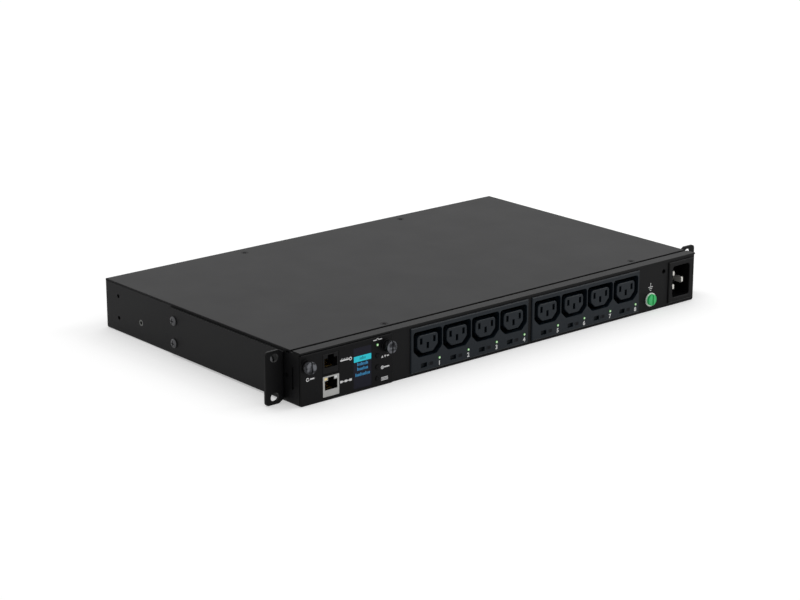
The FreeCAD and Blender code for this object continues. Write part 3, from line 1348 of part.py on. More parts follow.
def mains_inlet():
    """Mains inlet housing with a deep recess, and its three blades."""
    body = new_body("inlet_body")
    bezel = rect(*span("inlet_mid", "inlet_width / 2"), *span("inlet_z", "inlet_height / 2"))
    pad(body, "inlet_bezel", "XZ", "front", "face", bezel)
    rims = [("X", "y-", "z-"), ("X", "y-", "z+"), ("Z", "x-", "y-"), ("Z", "x+", "y-")]
    dress(body, "Chamfer", "inlet_rims", "bezel_edge", *rims)
    core_x = span("inlet_mid", "inlet_width / 2 - inlet_lap")
    core_z = span("inlet_z", "inlet_height / 2 - inlet_lap")
    pad(body, "inlet_core", "XZ", "face", "front + inlet_depth", rect(*core_x, *core_z))
    recess = rect(*span("inlet_mid", "recess_width / 2"), *span("inlet_z", "recess_height / 2"))
    hollow = pocket(body, "inlet_recess", "XZ", "front", "front + recess_depth", recess)
    corners = edges_of_length(hollow, "Y", sheet.recess_depth)
    rounded = dress_edges(body, "Fillet", "inlet_recess_rounds", "recess_corner", corners)
    dress_edges(body, "Chamfer", "inlet_mouth", "recess_bevel", front_rims(rounded, sheet.recess_width))
    slots = [rect(*span(x, "blade_gauge / 2 + turn_gap"), *span(z, "blade_width / 2 + turn_gap"))
             for x, z, lead in blade_places()]
    pocket(body, "inlet_blade_slots", "XZ", "front", "front + inlet_depth", *slots)
    piece(body, "inlet_body")
    blade = new_body("blade_master")
    section = rect(*span("0", "blade_gauge / 2"), *span("0", "blade_width / 2"))
    pad(blade, "blade_bar", "XZ", "blade_set", "blade_reach", section)
    dress(blade, "Fillet", "blade_tips", "blade_tip", ("X", "y-", "z-"), ("X", "y-", "z+"))
    copies("inlet_blades", blade, [(x, f"front - {lead}", z) for x, z, lead in blade_places()])


def earth_screw():
    """Slotted earth screw and its washer."""
    body = new_body("earth_screw")
    profile = [
        ("0", "-earth_length"),
        ("earth_shank", "-earth_length"),
        ("earth_shank", "washer_gauge"),
        ("earth_head", "washer_gauge"),
        ("earth_head", "washer_gauge + earth_dome * 0.75"),
        ("earth_head * 0.82", "washer_gauge + earth_dome"),
        ("0", "washer_gauge + earth_dome"),
    ]
    revolve(body, "earth_screw_turned", profile)
    slot = rect(*span("0", "thumb_slot / 2"), *span("0", "2 * earth_head"))
    top = "washer_gauge + earth_dome"
    pocket(body, "earth_screw_slot", "XY", f"{top} - earth_dome / 2", f"{top} + earth_dome / 2", slot)
    seat(body, "earth_x", "face", "base + earth_rise", "out")
    piece(body, "earth_screw")
    washer = new_body("earth_washer")
    pad(washer, "washer_ring", "XY", "0", "washer_gauge", disc("0", "0", "washer_radius"))
    pocket(washer, "washer_bore", "XY", "0", "washer_gauge", disc("0", "0", "earth_shank + turn_gap"))
    seat(washer, "earth_x", "face", "base + earth_rise", "out")
    piece(washer, "earth_washer")


def mains_lead(label, x, z, start, place):
    """Lead that runs back, turns and ends at the terminal block."""
    turn_y = f"front + terminal_set + {place} * lead_step - lead_step / 2"
    bend_y = f"{turn_y} - lead_bend"
    bend_x = f"{x} - lead_bend"
    back = rod(label + "_back", "lead_radius", f"{bend_y} - ({start})", x, start, z, "in")
    turn = quarter_bend(label + "_turn", "lead_radius", "lead_bend", bend_x, bend_y, z, 0.0)
    run = f"{bend_x} - (terminal_right)"
    across = rod(label + "_across", "lead_radius", run, bend_x, turn_y, z, "left")
    piece(fused(label, [back, turn, across]), label)


def mains_leads():
    """Leads from the inlet and the earth screw to the terminal block."""
    tabs = "front + blade_reach"
    mains_lead("inlet_line_lead", "live_blade_x", "blade_z + blade_spread / 2", tabs, 1)
    mains_lead("inlet_neutral_lead", "live_blade_x", "blade_z - blade_spread / 2", tabs, 2)
    mains_lead("inlet_earth_lead", "earth_blade_x", "blade_z", f"{tabs} - earth_lead_in", 3)
    mains_lead("earth_bond_lead", "earth_x", "base + earth_rise", "face + earth_length", 4)
    x = ("terminal_right - terminal_width", "terminal_right")
    y = ("front + terminal_set", "front + terminal_set + terminal_length")
    piece(block("terminal_block", x, y, ("board_top", "board_top + terminal_height")), "terminal_block")


# Boards inside

def relay_screws():
    """Where the relay board is screwed down."""
    across = ("relay_board_left + board_inset", "(relay_board_left + relay_board_right) / 2",
              "relay_board_right - board_inset")
    along = ("front + relay_board_set + 2 * board_inset", "front + relay_board_reach - board_inset / 2")
    return [(x, y) for x in across for y in along]


def supply_screws():
    """Where the supply board is screwed down."""
    across = ("supply_left + board_inset", "supply_right - board_inset")
    along = ("front + supply_set + board_inset", "front + supply_reach - board_inset")
    return [(x, y) for x in across for y in along]


def floor_board(label, x, y, screws):
    """Board on standoffs, with its screw holes."""
    body = new_body(label)
    pad(body, label + "_sheet", "XY", "board_z", "board_top", rect(*x, *y))
    holes = [disc(across, along, "board_screw_shank + turn_gap") for across, along in screws]
    pocket(body, label + "_holes", "XY", "board_z", "board_top", *holes)
    piece(body, label)


def boards():
    """Relay board and supply board with what stands on them."""
    relay_y = ("front + relay_board_set", "front + relay_board_reach")
    floor_board("relay_board", ("relay_board_left", "relay_board_right"), relay_y, relay_screws())
    supply_y = ("front + supply_set", "front + supply_reach")
    floor_board("supply_board", ("supply_left", "supply_right"), supply_y, supply_screws())
    relays = []
    sensors = []
    for number, middle in enumerate(all_outlets(), 1):
        y = ("front + relay_set", "front + relay_set + relay_length")
        z = ("board_top", "board_top + relay_height")
        relays.append(block(f"relay_{number}", span(middle, "relay_width / 2"), y, z))
        sensors.append(current_sensor(number, middle))
    group("relays", relays)
    group("current_sensors", sensors)
    x = ("supply_left + 5 * board_inset", "supply_left + 5 * board_inset + transformer_width")
    y = span("front + (supply_set + supply_reach) / 2", "transformer_length / 2")
    z = ("board_top", "board_top + transformer_height")
    piece(block("supply_transformer", x, y, z), "supply_transformer")
    places = ("supply_right - capacitor_set", "supply_right - capacitor_set - capacitor_step")
    middle_y = "front + (supply_set + supply_reach) / 2"
    size = ("capacitor_radius", "capacitor_height")
    capacitors = [rod(f"capacitor_{number}", *size, x, middle_y, "board_top")
                  for number, x in enumerate(places, 1)]
    group("supply_capacitors", capacitors)


def current_sensor(number, x):
    """Ring-shaped current sensor standing on a foot."""
    y = "front + sensor_set"
    z = "board_top + sensor_radius"
    ring = rod(f"sensor_{number}_ring", "sensor_radius", "sensor_length", x, y, z, "in")
    foot_y = (y, f"{y} + sensor_length")
    foot = block(f"sensor_{number}_foot", span(x, "sensor_radius * 0.8"), foot_y, ("board_top", z))
    bore = rod(f"sensor_{number}_bore", "sensor_bore", "sensor_length", x, y, z, "in")
    cut = doc.addObject("Part::Cut", f"sensor_{number}")
    cut.Base = fused(f"sensor_{number}_solid", [ring, foot])
    cut.Tool = bore
    return cut


def fasteners():
    """Standoffs under the boards and the screws that hold the boards."""
    standoff = new_body("standoff_master")
    pad(standoff, "standoff_bar", "XY", "0", "standoff_height", hexagon("standoff_radius"))
    bore = disc("0", "0", "board_screw_shank + turn_gap")
    pocket(standoff, "standoff_bore", "XY", "0", "standoff_height", bore)
    floor_places = relay_screws() + supply_screws()
    bay_y = "backplane_y + board_gauge"
    standoffs = [(x, y, "deck", "up") for x, y in floor_places]
    standoffs += [(x, bay_y, z, "in") for x, z in backplane_screws()]
    copies("standoffs", standoff, standoffs)
    screw = new_body("board_screw_master")
    profile = [
        ("0", "-standoff_height"),
        ("board_screw_shank", "-standoff_height"),
        ("board_screw_shank", "0"),
        ("board_screw_head", "0"),
        ("board_screw_head", "board_screw_head * 0.4"),
        ("board_screw_head * 0.7", "board_screw_head * 0.75"),
        ("0", "board_screw_head * 0.75"),
    ]
    revolve(screw, "board_screw_turned", profile)
    cross = ("board_screw_head * 0.75", "board_screw_head * 0.6", "board_screw_head * 0.36")
    cross_recess(screw, "board_screw_cross", *cross)
    screws = [(x, y, "board_top", "up") for x, y in floor_places]
    screws += [(x, "backplane_y", z, "out") for x, z in backplane_screws()]
    copies("board_screws", screw, screws)


def check_shapes():
    """Stop if any object failed, a cut took nothing away or a piece isn't a valid shape."""
    doc.recompute()
    for item in doc.Objects:
        if "Invalid" in item.State or "Error" in item.State:
            raise RuntimeError(f"{item.Name} failed: {item.State}")
        if item.TypeId == "PartDesign::Pocket":
            taken = item.BaseFeature.Shape.Volume - item.Shape.Volume
            if taken < 1e-3:
                raise RuntimeError(f"{item.Name} cuts nothing")
    for item in pieces:
        if item.Shape.isNull() or not item.Shape.isValid() or not item.Shape.Solids:
            raise RuntimeError(f"{item.Label} isn't a valid solid")


def write_pieces():
    """Write each piece to its own file."""
    os.makedirs("parts", exist_ok=True)
    for item in pieces:
        item.Shape.exportStep(os.path.join("parts", item.Label + ".step"))


chassis_tray()
top_cover()
front_panel()
rack_ear("rack_ear_left", "-")
rack_ear("rack_ear_right", "")
ear_screws()
cover_screws()
cover_posts()
panel_side_screws()
side_inserts()
controller_faceplate()
thumbscrew("thumbscrew_left", "thumb_left")
thumbscrew("thumbscrew_right", "thumb_right")
thumbscrew_collar("thumbscrew_collar_left", "thumb_left")
thumbscrew_collar("thumbscrew_collar_right", "thumb_right")
thumbscrew_ferrules()
panel_nuts()
network_jack()
sensor_jack()
jack_contacts()
display()
for button_name, button_z in zip(("upper", "middle", "lower"), button_heights()):
    menu_button(f"menu_button_{button_name}", button_z)
front_board()
main_board()
backplane()
control_cable()
outlet_module("outlet_module_left", "left_module")
outlet_module("outlet_module_right", "right_module")
outlet_light_pipes()
line_contacts()
contact_bars()
mains_inlet()
earth_screw()
mains_leads()
boards()
fasteners()
check_shapes()
write_pieces()
print(len(pieces), "pieces")
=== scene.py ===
import math

import bpy
from bpy.props import FloatProperty, FloatVectorProperty, PointerProperty
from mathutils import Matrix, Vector


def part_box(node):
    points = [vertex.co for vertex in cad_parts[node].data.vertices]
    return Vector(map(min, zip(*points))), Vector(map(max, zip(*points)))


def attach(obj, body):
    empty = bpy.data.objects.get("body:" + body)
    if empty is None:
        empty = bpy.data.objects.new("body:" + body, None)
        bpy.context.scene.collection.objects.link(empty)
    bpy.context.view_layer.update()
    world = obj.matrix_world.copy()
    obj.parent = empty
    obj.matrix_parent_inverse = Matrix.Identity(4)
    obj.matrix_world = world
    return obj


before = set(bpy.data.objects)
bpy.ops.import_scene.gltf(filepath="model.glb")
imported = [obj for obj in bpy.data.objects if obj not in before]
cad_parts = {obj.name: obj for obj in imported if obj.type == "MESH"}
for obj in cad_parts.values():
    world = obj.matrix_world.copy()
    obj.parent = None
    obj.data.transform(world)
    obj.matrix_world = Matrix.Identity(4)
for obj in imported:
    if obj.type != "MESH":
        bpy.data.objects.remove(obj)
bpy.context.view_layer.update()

bl_info = {
    "name": "Rack power unit",
    "version": (1, 0, 0),
    "blender": (4, 5, 0),
    "location": "View3D > Sidebar > Rack unit",
    "description": "Finishes, printed marks and stage of a one-unit rack power distribution unit",
    "category": "Object",
}

MM = 0.001
MAIN_BODY = "unit"
OUTLETS_PER_MODULE = 4
MODULES = ("outlet_module_left", "outlet_module_right")

# Places that the marks are set by, read from the frame
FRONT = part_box("outlet_module_left")[0].y
PANEL_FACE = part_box("earth_washer")[1].y
SCREEN_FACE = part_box("display_window")[0].y
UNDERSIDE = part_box("chassis_tray")[0].z

# Turn of a flat shape that makes it look to the front
FACING_FRONT = (math.pi / 2, 0.0, 0.0)

# Colour sockets of Blender's Mix node, which has one set for each kind of value
MIX_FACTOR, MIX_FIRST, MIX_SECOND, MIX_RESULT = 0, 6, 7, 2

# A wave texture's rings are this far apart at a scale of 1
WAVE_SPACING = math.tau / 20


def linear(code):
    """Linear colour with full alpha from an sRGB hex code."""
    parts = [int(code[place:place + 2], 16) / 255 for place in (1, 3, 5)]
    return (*[p / 12.92 if p <= 0.04045 else ((p + 0.055) / 1.055) ** 2.4 for p in parts], 1.0)


def colour(label, meaning, code):
    """A colour that a user can change."""
    return FloatVectorProperty(
        name=label, description=meaning, subtype="COLOR", size=4, min=0.0, max=1.0, default=linear(code)
    )


def length(label, meaning, millimetres):
    """A length that a user can change."""
    return FloatProperty(
        name=label, description=meaning, unit="LENGTH", default=millimetres * MM, precision=5
    )


class RackUnitColours(bpy.types.PropertyGroup):
    """Colours of the finishes"""
    enclosure: colour("Enclosure", "Powder coat of the tray, cover, front panel and ears", "#131314")
    faceplate: colour("Faceplate", "Satin paint of the controller's faceplate", "#0b0b0c")
    outlet: colour("Outlets", "Moulding of the outlet modules", "#121a21")
    inlet: colour("Inlet", "Moulding of the mains inlet", "#0a0a0b")
    thumbscrew: colour("Thumbscrews", "Turned and knurled heads", "#47484b")
    earth: colour("Earth screw", "Dyed head of the earth screw", "#29c068")
    light: colour("Lights", "Rims of the lit light pipes", "#3c8a3e")
    print_white: colour("Print", "Printed marks on the panels", "#f4f4f4")
    screen_bar: colour("Screen bar", "Chosen line of the screen", "#2dbecd")
    screen_line: colour("Screen lines", "Other lines of the screen", "#3f8fc0")
    floor: colour("Floor", "Pale floor of the stage", "#dedede")


class RackUnitSizes(bpy.types.PropertyGroup):
    """Sizes of the printed marks"""
    number_height: length("Number height", "Height of the outlet numbers", 5.0)
    number_rise: length("Number rise", "Underside to the middle of the outlet numbers", 5.9)
    print_thickness: length("Print thickness", "Thickness of the printed marks", 0.04)
    line_width: length("Line width", "Width of the printed lines", 0.7)
    core_radius: length("Light core", "Radius of the bright heart of a light pipe", 0.9)
    lock_set: length("Lock set", "Light of an outlet to its lock recess, across", -16.43)
    lock_rise: length("Lock rise", "Underside to the middle of the lock recess", 7.5)
    lock_width: length("Lock width", "Width of the lock recess", 6.4)
    lock_height: length("Lock height", "Height of the lock recess", 3.8)
    lock_depth: length("Lock depth", "Depth of the lock recess", 2.0)
    lock_sign_set: length("Lock sign", "Lock recess to the lock sign, across", 7.0)
    earth_rise: length("Earth sign rise", "Underside to the longest bar of the earth sign", 22.0)


def node(tree, kind, inputs=None, **settings):
    """Add a node with its settings, values and links."""
    made = tree.nodes.new(kind)
    for key, value in settings.items():
        setattr(made, key, value)
    for key, value in (inputs or {}).items():
        socket = made.inputs[key]
        if isinstance(value, bpy.types.NodeSocket):
            tree.links.new(value, socket)
        else:
            socket.default_value = value
    return made


def new_material(name):
    """Start an empty node material and give its tree and Object coordinates."""
    material = bpy.data.materials.new(name)
    material.use_nodes = True
    tree = material.node_tree
    tree.nodes.clear()
    place = node(tree, "ShaderNodeTexCoord").outputs["Object"]
    return material, tree, place


def shade(base, amount):
    """A colour made lighter or darker."""
    return (*[min(1.0, part * amount) for part in base[:3]], 1.0)


def powder_coat(name, base, gloss=0.46, specular=0.096, peel_width=0.9):
    """Polyester powder baked on steel: an even black, with an orange peel that softens reflections."""
    material, tree, place = new_material(name)
    # The real peel is about 0.3 mm across and is drawn coarser so that it shows
    peel = node(tree, "ShaderNodeTexNoise", {"Vector": place, "Scale": 1 / (peel_width * MM), "Detail": 2.0})
    cloud = node(tree, "ShaderNodeTexNoise", {"Vector": place, "Scale": 1 / (35 * MM), "Detail": 2.0})
    tint = node(tree, "ShaderNodeMix", {
        MIX_FACTOR: cloud.outputs["Fac"], MIX_FIRST: shade(base, 0.9), MIX_SECOND: shade(base, 1.1),
    }, data_type="RGBA")
    sheen = node(tree, "ShaderNodeMapRange", {
        "Value": cloud.outputs["Fac"], "To Min": gloss - 0.03, "To Max": gloss + 0.03,
    })
    bump = node(tree, "ShaderNodeBump", {
        "Height": peel.outputs["Fac"], "Strength": 0.25, "Distance": 0.05 * MM,
    })
    shader = node(tree, "ShaderNodeBsdfPrincipled", {
        "Base Color": tint.outputs[MIX_RESULT],
        "Roughness": sheen.outputs["Result"],
        "Specular IOR Level": specular,
        "Normal": bump.outputs["Normal"],
    })
    node(tree, "ShaderNodeOutputMaterial", {"Surface": shader.outputs["BSDF"]})
    return material


def moulding(name, base, gloss=0.5, specular=0.2, sand_width=1.1):
    """Glass-filled polyamide from a spark-eroded mould: matt, with a sandy grain and flow clouds."""
    material, tree, place = new_material(name)
    # The sand of the mould is about 0.2 mm across and is drawn coarser so that it shows
    sand = node(tree, "ShaderNodeTexNoise", {"Vector": place, "Scale": 1 / (sand_width * MM), "Detail": 4.0})
    flow = node(tree, "ShaderNodeTexNoise", {"Vector": place, "Scale": 1 / (18 * MM), "Detail": 2.0})
    tint = node(tree, "ShaderNodeMix", {
        MIX_FACTOR: flow.outputs["Fac"], MIX_FIRST: shade(base, 0.86), MIX_SECOND: shade(base, 1.14),
    }, data_type="RGBA")
    sheen = node(tree, "ShaderNodeMapRange", {
        "Value": sand.outputs["Fac"], "From Min": 0.3, "From Max": 0.7,
        "To Min": gloss - 0.06, "To Max": gloss + 0.06,
    })
    bump = node(tree, "ShaderNodeBump", {
        "Height": sand.outputs["Fac"], "Strength": 0.3, "Distance": 0.04 * MM,
    })
    shader = node(tree, "ShaderNodeBsdfPrincipled", {
        "Base Color": tint.outputs[MIX_RESULT],
        "Roughness": sheen.outputs["Result"],
        "IOR": 1.53,
        "Specular IOR Level": specular,
        "Normal": bump.outputs["Normal"],
    })
    node(tree, "ShaderNodeOutputMaterial", {"Surface": shader.outputs["BSDF"]})
    return material


def plating(name, base, gloss, metallic=1.0):
    """Plated metal: bright at heart, dulled by tumbling marks and by the haze of handling."""
    material, tree, place = new_material(name)
    marks = node(tree, "ShaderNodeTexNoise", {"Vector": place, "Scale": 1 / (0.8 * MM), "Detail": 3.0})
    haze = node(tree, "ShaderNodeTexNoise", {"Vector": place, "Scale": 1 / (6 * MM), "Detail": 2.0})
    tint = node(tree, "ShaderNodeMix", {
        MIX_FACTOR: haze.outputs["Fac"], MIX_FIRST: shade(base, 0.86), MIX_SECOND: shade(base, 1.14),
    }, data_type="RGBA")
    sheen = node(tree, "ShaderNodeMapRange", {
        "Value": haze.outputs["Fac"], "From Min": 0.3, "From Max": 0.7,
        "To Min": gloss - 0.06, "To Max": gloss + 0.08,
    })
    bump = node(tree, "ShaderNodeBump", {
        "Height": marks.outputs["Fac"], "Strength": 0.15, "Distance": 0.02 * MM,
    })
    shader = node(tree, "ShaderNodeBsdfPrincipled", {
        "Base Color": tint.outputs[MIX_RESULT],
        "Metallic": metallic,
        "Roughness": sheen.outputs["Result"],
        "Normal": bump.outputs["Normal"],
    })
    node(tree, "ShaderNodeOutputMaterial", {"Surface": shader.outputs["BSDF"]})
    return material


def turned_metal(name, base, middle):
    """Dark nickel on a turned knob: lathe rings that pull reflections into a fan, worn in patches."""
    material, tree, place = new_material(name)
    centred = node(tree, "ShaderNodeMapping", {"Vector": place, "Location": -middle})
    # The lathe's rings are about 0.1 mm apart and are drawn at 0.5 mm so that they show
    rings = node(tree, "ShaderNodeTexWave", {
        "Vector": centred.outputs["Vector"], "Scale": WAVE_SPACING / (0.5 * MM), "Distortion": 0.4,
    }, wave_type="RINGS", rings_direction="Y")
    haze = node(tree, "ShaderNodeTexNoise", {"Vector": place, "Scale": 1 / (3 * MM), "Detail": 3.0})
    worn = node(tree, "ShaderNodeMapRange", {
        "Value": haze.outputs["Fac"], "From Min": 0.38, "From Max": 0.62,
    })
    tint = node(tree, "ShaderNodeMix", {
        MIX_FACTOR: worn.outputs["Result"], MIX_FIRST: shade(base, 0.3), MIX_SECOND: shade(base, 2.0),
    }, data_type="RGBA")
    sheen = node(tree, "ShaderNodeMapRange", {
        "Value": worn.outputs["Result"], "To Min": 0.46, "To Max": 0.3,
    })
    bump = node(tree, "ShaderNodeBump", {
        "Height": rings.outputs["Fac"], "Strength": 0.6, "Distance": 0.06 * MM,
    })
    shader = node(tree, "ShaderNodeBsdfPrincipled", {
        "Base Color": tint.outputs[MIX_RESULT],
        "Metallic": 1.0,
        "Roughness": sheen.outputs["Result"],
        "Normal": bump.outputs["Normal"],
    })
    node(tree, "ShaderNodeOutputMaterial", {"Surface": shader.outputs["BSDF"]})
    return material


def dyed_metal(name, base):
    """Dyed and sealed plating on steel: a strong colour under a thin clear gloss."""
    material, tree, place = new_material(name)
    haze = node(tree, "ShaderNodeTexNoise", {"Vector": place, "Scale": 1 / (3 * MM), "Detail": 2.0})
    marks = node(tree, "ShaderNodeTexNoise", {"Vector": place, "Scale": 1 / (0.7 * MM), "Detail": 2.0})
    tint = node(tree, "ShaderNodeMix", {
        MIX_FACTOR: haze.outputs["Fac"], MIX_FIRST: shade(base, 0.75), MIX_SECOND: shade(base, 1.25),
    }, data_type="RGBA")
    sheen = node(tree, "ShaderNodeMapRange", {"Value": haze.outputs["Fac"], "To Min": 0.26, "To Max": 0.42})
    bump = node(tree, "ShaderNodeBump", {
        "Height": marks.outputs["Fac"], "Strength": 0.12, "Distance": 0.02 * MM,
    })
    shader = node(tree, "ShaderNodeBsdfPrincipled", {
        "Base Color": tint.outputs[MIX_RESULT],
        "Metallic": 0.35,
        "Roughness": sheen.outputs["Result"],
        "Coat Weight": 0.3,
        "Normal": bump.outputs["Normal"],
    })
    node(tree, "ShaderNodeOutputMaterial", {"Surface": shader.outputs["BSDF"]})
    return material


def laminate(name):
    """Glass-epoxy board under dark green solder mask: a woven ground with copper tracks in it."""
    material, tree, place = new_material(name)
    tracks = node(tree, "ShaderNodeTexBrick", {
        "Vector": place,
        "Color1": linear("#0a2014"), "Color2": linear("#0c2618"), "Mortar": linear("#143a25"),
        "Scale": 1.0, "Mortar Size": 0.25 * MM, "Brick Width": 9 * MM, "Row Height": 2.2 * MM,
    })
    weave = node(tree, "ShaderNodeTexNoise", {"Vector": place, "Scale": 1 / (0.8 * MM), "Detail": 2.0})
    sheen = node(tree, "ShaderNodeMapRange", {"Value": weave.outputs["Fac"], "To Min": 0.26, "To Max": 0.46})
    bump = node(tree, "ShaderNodeBump", {
        "Height": tracks.outputs["Fac"], "Strength": 0.3, "Distance": 0.03 * MM,
    })
    shader = node(tree, "ShaderNodeBsdfPrincipled", {
        "Base Color": tracks.outputs["Color"],
        "Roughness": sheen.outputs["Result"],
        "IOR": 1.55,
        "Normal": bump.outputs["Normal"],
    })
    node(tree, "ShaderNodeOutputMaterial", {"Surface": shader.outputs["BSDF"]})
    return material


def lit_acrylic(name, glow, strength):
    """Acrylic light pipe with a lamp behind it: an even glow with a little sparkle."""
    material, tree, place = new_material(name)
    sparkle = node(tree, "ShaderNodeTexNoise", {"Vector": place, "Scale": 1 / (1.2 * MM), "Detail": 2.0})
    tint = node(tree, "ShaderNodeMix", {
        MIX_FACTOR: sparkle.outputs["Fac"], MIX_FIRST: shade(glow, 0.8), MIX_SECOND: shade(glow, 1.2),
    }, data_type="RGBA")
    shader = node(tree, "ShaderNodeBsdfPrincipled", {
        "Base Color": tint.outputs[MIX_RESULT],
        "Roughness": 0.2,
        "IOR": 1.49,
        "Specular IOR Level": 0.3,
        "Emission Color": tint.outputs[MIX_RESULT],
        "Emission Strength": strength,
    })
    node(tree, "ShaderNodeOutputMaterial", {"Surface": shader.outputs["BSDF"]})
    return material


def link_acrylic(name, middle):
    """Two clear acrylic windows over lamps: cream over the amber one at the left, white at the right."""
    material, tree, place = new_material(name)
    across = node(tree, "ShaderNodeSeparateXYZ", {"Vector": place})
    side = node(tree, "ShaderNodeMath", {0: across.outputs["X"], 1: middle}, operation="GREATER_THAN")
    tint = node(tree, "ShaderNodeMix", {
        MIX_FACTOR: side.outputs["Value"], MIX_FIRST: linear("#f0dca0"), MIX_SECOND: linear("#d6d8d8"),
    }, data_type="RGBA")
    haze = node(tree, "ShaderNodeTexNoise", {"Vector": place, "Scale": 1 / (1.2 * MM), "Detail": 2.0})
    sheen = node(tree, "ShaderNodeMapRange", {"Value": haze.outputs["Fac"], "To Min": 0.18, "To Max": 0.34})
    shader = node(tree, "ShaderNodeBsdfPrincipled", {
        "Base Color": tint.outputs[MIX_RESULT],
        "Roughness": sheen.outputs["Result"],
        "IOR": 1.49,
        "Emission Color": tint.outputs[MIX_RESULT],
        "Emission Strength": 0.2,
    })
    node(tree, "ShaderNodeOutputMaterial", {"Surface": shader.outputs["BSDF"]})
    return material


def smoked_window(name):
    """Smoked polycarbonate over a dark screen: a deep blue black, satin and hazed by handling."""
    material, tree, place = new_material(name)
    haze = node(tree, "ShaderNodeTexNoise", {"Vector": place, "Scale": 1 / (7 * MM), "Detail": 2.0})
    tint = node(tree, "ShaderNodeMix", {
        MIX_FACTOR: haze.outputs["Fac"], MIX_FIRST: linear("#12121f"), MIX_SECOND: linear("#171727"),
    }, data_type="RGBA")
    sheen = node(tree, "ShaderNodeMapRange", {"Value": haze.outputs["Fac"], "To Min": 0.28, "To Max": 0.4})
    shader = node(tree, "ShaderNodeBsdfPrincipled", {
        "Base Color": tint.outputs[MIX_RESULT],
        "Roughness": sheen.outputs["Result"],
        "IOR": 1.58,
        "Specular IOR Level": 0.1,
    })
    node(tree, "ShaderNodeOutputMaterial", {"Surface": shader.outputs["BSDF"]})
    return material


def screen_print(name, base, strength=0.0, specular=0.2):
    """Screen-printed ink, or the lit dots of a screen where it glows: flat colour, uneven cover."""
    material, tree, place = new_material(name)
    cover = node(tree, "ShaderNodeTexNoise", {"Vector": place, "Scale": 1 / (0.8 * MM), "Detail": 2.0})
    tint = node(tree, "ShaderNodeMix", {
        MIX_FACTOR: cover.outputs["Fac"], MIX_FIRST: shade(base, 0.9), MIX_SECOND: shade(base, 1.08),
    }, data_type="RGBA")
    shader = node(tree, "ShaderNodeBsdfPrincipled", {
        "Base Color": tint.outputs[MIX_RESULT],
        "Roughness": 0.55,
        "Specular IOR Level": specular,
        "Emission Color": tint.outputs[MIX_RESULT],
        "Emission Strength": strength,
    })
    node(tree, "ShaderNodeOutputMaterial", {"Surface": shader.outputs["BSDF"]})
    return material


def insulation(name, base, stripe=None):
    """Soft PVC insulation: smooth and faintly waxy, with a second colour in bands where it has one."""
    material, tree, place = new_material(name)
    wax = node(tree, "ShaderNodeTexNoise", {"Vector": place, "Scale": 1 / (2.5 * MM), "Detail": 2.0})
    pattern = wax
    if stripe:
        pattern = node(tree, "ShaderNodeTexWave", {
            "Vector": place, "Scale": WAVE_SPACING / (8 * MM), "Distortion": 1.0,
        })
    tint = node(tree, "ShaderNodeMix", {
        MIX_FACTOR: pattern.outputs["Fac"], MIX_FIRST: base, MIX_SECOND: stripe or shade(base, 1.2),
    }, data_type="RGBA")
    sheen = node(tree, "ShaderNodeMapRange", {"Value": wax.outputs["Fac"], "To Min": 0.34, "To Max": 0.54})
    shader = node(tree, "ShaderNodeBsdfPrincipled", {
        "Base Color": tint.outputs[MIX_RESULT],
        "Roughness": sheen.outputs["Result"],
        "IOR": 1.53,
    })
    node(tree, "ShaderNodeOutputMaterial", {"Surface": shader.outputs["BSDF"]})
    return material


def showing(tree):
    """Give 1 for rays of the camera, gloss and glass, and 0 for the light that falls on things."""
    path = node(tree, "ShaderNodeLightPath")
    gloss = node(tree, "ShaderNodeMath", {
        0: path.outputs["Is Glossy Ray"], 1: path.outputs["Is Transmission Ray"],
    }, operation="MAXIMUM")
    shown = node(tree, "ShaderNodeMath", {
        0: path.outputs["Is Camera Ray"], 1: gloss.outputs["Value"],
    }, operation="MAXIMUM")
    return shown.outputs["Value"]


def floor_paper(name, base, lift):
    """Pale seamless paper: matt, with faint fibres, shown a little paler to the camera and to gloss."""
    material, tree, place = new_material(name)
    fibre = node(tree, "ShaderNodeTexNoise", {"Vector": place, "Scale": 1 / (4 * MM), "Detail": 2.0})
    tint = node(tree, "ShaderNodeMix", {
        MIX_FACTOR: fibre.outputs["Fac"], MIX_FIRST: shade(base, 0.995), MIX_SECOND: base,
    }, data_type="RGBA")
    extra = node(tree, "ShaderNodeMath", {0: showing(tree), 1: lift}, operation="MULTIPLY")
    shader = node(tree, "ShaderNodeBsdfPrincipled", {
        "Base Color": tint.outputs[MIX_RESULT],
        "Roughness": 0.9,
        "Specular IOR Level": 0.0,
        "Emission Color": tint.outputs[MIX_RESULT],
        "Emission Strength": extra.outputs["Value"],
    })
    node(tree, "ShaderNodeOutputMaterial", {"Surface": shader.outputs["BSDF"]})
    return material


def dress_nodes(material, *names):
    """Give CAD nodes a finish in place of their plain one."""
    for name in names:
        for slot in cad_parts[name].material_slots:
            slot.material = material


def fresh():
    """Deselect everything and leave edit mode."""
    if bpy.context.mode != "OBJECT":
        bpy.ops.object.mode_set(mode="OBJECT")
    bpy.ops.object.select_all(action="DESELECT")


def take(*pieces):
    """Select pieces alone, the first one active."""
    fresh()
    for piece in pieces:
        piece.select_set(True)
    bpy.context.view_layer.objects.active = pieces[0]


def settle(piece, name, material):
    """Freeze a modelled piece at the origin, name it and let it ride on the main body."""
    take(piece)
    bpy.ops.object.transform_apply(location=True, rotation=True, scale=True)
    piece.name = name
    piece.data.name = name
    piece.data.materials.clear()
    piece.data.materials.append(material)
    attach(piece, MAIN_BODY)


